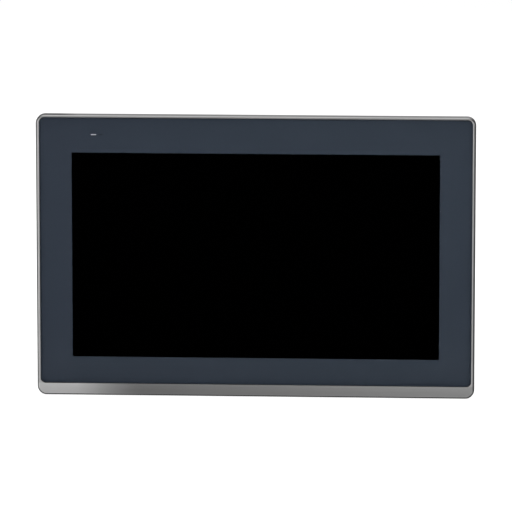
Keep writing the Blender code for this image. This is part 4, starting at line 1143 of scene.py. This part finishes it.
def build_screws():
    for i in range(1, 5):
        node = f"chassis_screw_{i}"
        small_screw(f"body_screw_{i}", node, (0, 0, math.copysign(1, middle(node).z)), 1.5)
    for side in ("left", "right"):
        small_screw(f"lid_screw_{side}", f"cover_screw_{side}", (0, 1, 0), 1.8)
    build_earth_screw()


def build_earth_screw():
    low, high = box("earth_screw")
    x, _, z = middle("earth_screw")
    top = high.y
    head = lathe([(0, 1.0), (3.0, 1.0), (3.9, 0.75), (4.2, 0.3), (4.2, 0.0), (0, 0.0)],
                 (0, top - 3.0, 0), (0, top, 0))
    washer = lathe([(0, 0.0), (5.2, 0.0), (5.4, 0.15), (5.4, 0.85), (5.2, 1.0), (0, 1.0)],
                   (0, top - 3.1, 0), (0, top - 2.0, 0), 40)
    teeth = [moved(block((4.7, top - 3.05, -0.35), (5.75, top - 2.55, 0.35)), spin(22.5 * i))
             for i in range(16)]
    head = cut(head, *cross_recess(top, 2.4, 1.8))
    screw = merged(head, washer, threaded(2.0, low.y, top - 2.9, 0.7, 0.28), *teeth)
    piece("earth_stud", moved(screw, shift(x, 0, z)), "zinc", "earth_screw", sharp=40)


# Stage
def towards_camera():
    """The direction from the panel to the camera."""
    flat = math.cos(VIEW_ELEVATION)
    return Vector((math.sin(VIEW_AZIMUTH) * flat, -math.cos(VIEW_AZIMUTH) * flat, math.sin(VIEW_ELEVATION)))


def build_world():
    """White to the eye, and to shiny surfaces a studio of soft boxes with a dark flag at the camera."""
    world = bpy.data.worlds.new("studio")
    bpy.context.scene.world = world
    s = Shader("studio", world)
    world.cycles.sampling_method = "NONE"
    way = s.coordinates["Generated"]
    x, y, z = s.node("SeparateXYZ", {0: way}).outputs
    sides = s.math("ABSOLUTE", x)
    front = s.step(y, -0.45, -0.95, 0.0, 1.15)
    behind = s.times(s.step(y, 0.45, 0.95, 0.0, 0.62), s.step(z, 0.0, 0.08, 1.0, 0.35))
    top = s.step(z, 0.15, 0.9, 0.0, 0.45)
    strips = s.times(s.step(sides, 0.35, 0.5, 0.0, 0.3), s.step(sides, 0.6, 0.75, 1.0, 0.0))
    mirrored = 0.10
    for part in (front, behind, top, strips, s.step(sides, 0.8, 0.97, 0.0, 0.25)):
        mirrored = s.plus(part, mirrored)
    view = towards_camera()
    near = s.node("VectorMath", {0: way, 1: (-view.x, view.y, -view.z)}, operation="DOT_PRODUCT")
    flag = s.step(near.outputs["Value"], math.cos(math.radians(15)), math.cos(math.radians(7)), 1.0, 0.0)
    path = s.node("LightPath").outputs
    lit = s.node("Mix", {0: path["Is Glossy Ray"], 2: 0.75, 3: s.times(mirrored, flag)})
    seen = s.node("Mix", {0: path["Is Camera Ray"], 2: lit, 3: 1.0})
    s.finish(s.node("Background", {"Strength": seen, "Color": 1.0}), "OutputWorld")


def build_floor(height, half=6.0):
    """A wide pale floor, which the camera sees about as bright as the backdrop and reflections leave out."""
    shape = bmesh.new()
    corners = ((-half, -half), (half, -half), (half, half), (-half, half))
    shape.faces.new([shape.verts.new((x, y, height)) for x, y in corners])
    s = Shader("pale_floor")
    seen = s.node("LightPath").outputs["Is Camera Ray"]
    white = s.node("BsdfDiffuse", {"Color": s.mix(seen, 0.86, 0.2)})
    glow = s.node("Emission", {"Color": 1.0, "Strength": s.times(seen, 0.82)})
    floor = shown("floor", mesh_of("floor", shape))
    floor.data.materials.append(s.finish(s.node("AddShader", {0: white, 1: glow})))
    floor.visible_glossy = False


def aim(obj, place, direction):
    obj.location = place
    obj.rotation_mode = "QUATERNION"
    obj.rotation_quaternion = direction.to_track_quat("-Z", "Y")


def build_lights():
    """Soft lights in front of the panel and behind it, and a wide one overhead."""
    for name, place, size, power in (
        ("key_front", (-0.9, -1.5, 1.5), 1.2, 26),
        ("fill_front", (1.4, -1.3, 0.7), 1.4, 9),
        ("key_back", (0.9, 1.5, 1.5), 1.2, 26),
        ("fill_back", (-1.4, 1.3, 0.7), 1.4, 9),
        ("overhead", (0, 0.2, 2.4), 2.4, 60),
    ):
        data = bpy.data.lights.new(name, "AREA")
        data.shape = "DISK"
        data.size = size
        data.energy = power
        light = shown(name, data)
        light.visible_glossy = False
        aim(light, place, -Vector(place))


def build_camera():
    """The photograph's view: far off, from slightly right of centre and slightly above."""
    distance, target = 4.345, Vector((0.00062, 0.0, 0.0008))
    data = bpy.data.cameras.new("camera")
    data.lens, data.sensor_width = 326.9, 36.0
    data.clip_start, data.clip_end = 0.1, 50.0
    camera = shown("camera", data)
    aim(camera, target + towards_camera() * distance, -towards_camera())
    bpy.context.scene.camera = camera


MATERIALS = build_materials()
for build in (
    finish_kept, build_bezel, build_glass, build_status_light, build_gasket, build_chassis, build_cover,
    build_doors, build_card_grip, build_jacks, build_usb, build_serial, build_power, build_switches,
    build_clamps, build_screws, build_world, build_lights, build_camera,
):
    build()
build_floor(CAD_BOX[0].z - 0.3 * MM)
bpy.context.scene.view_settings.view_transform = "Standard"
bpy.context.view_layer.update()
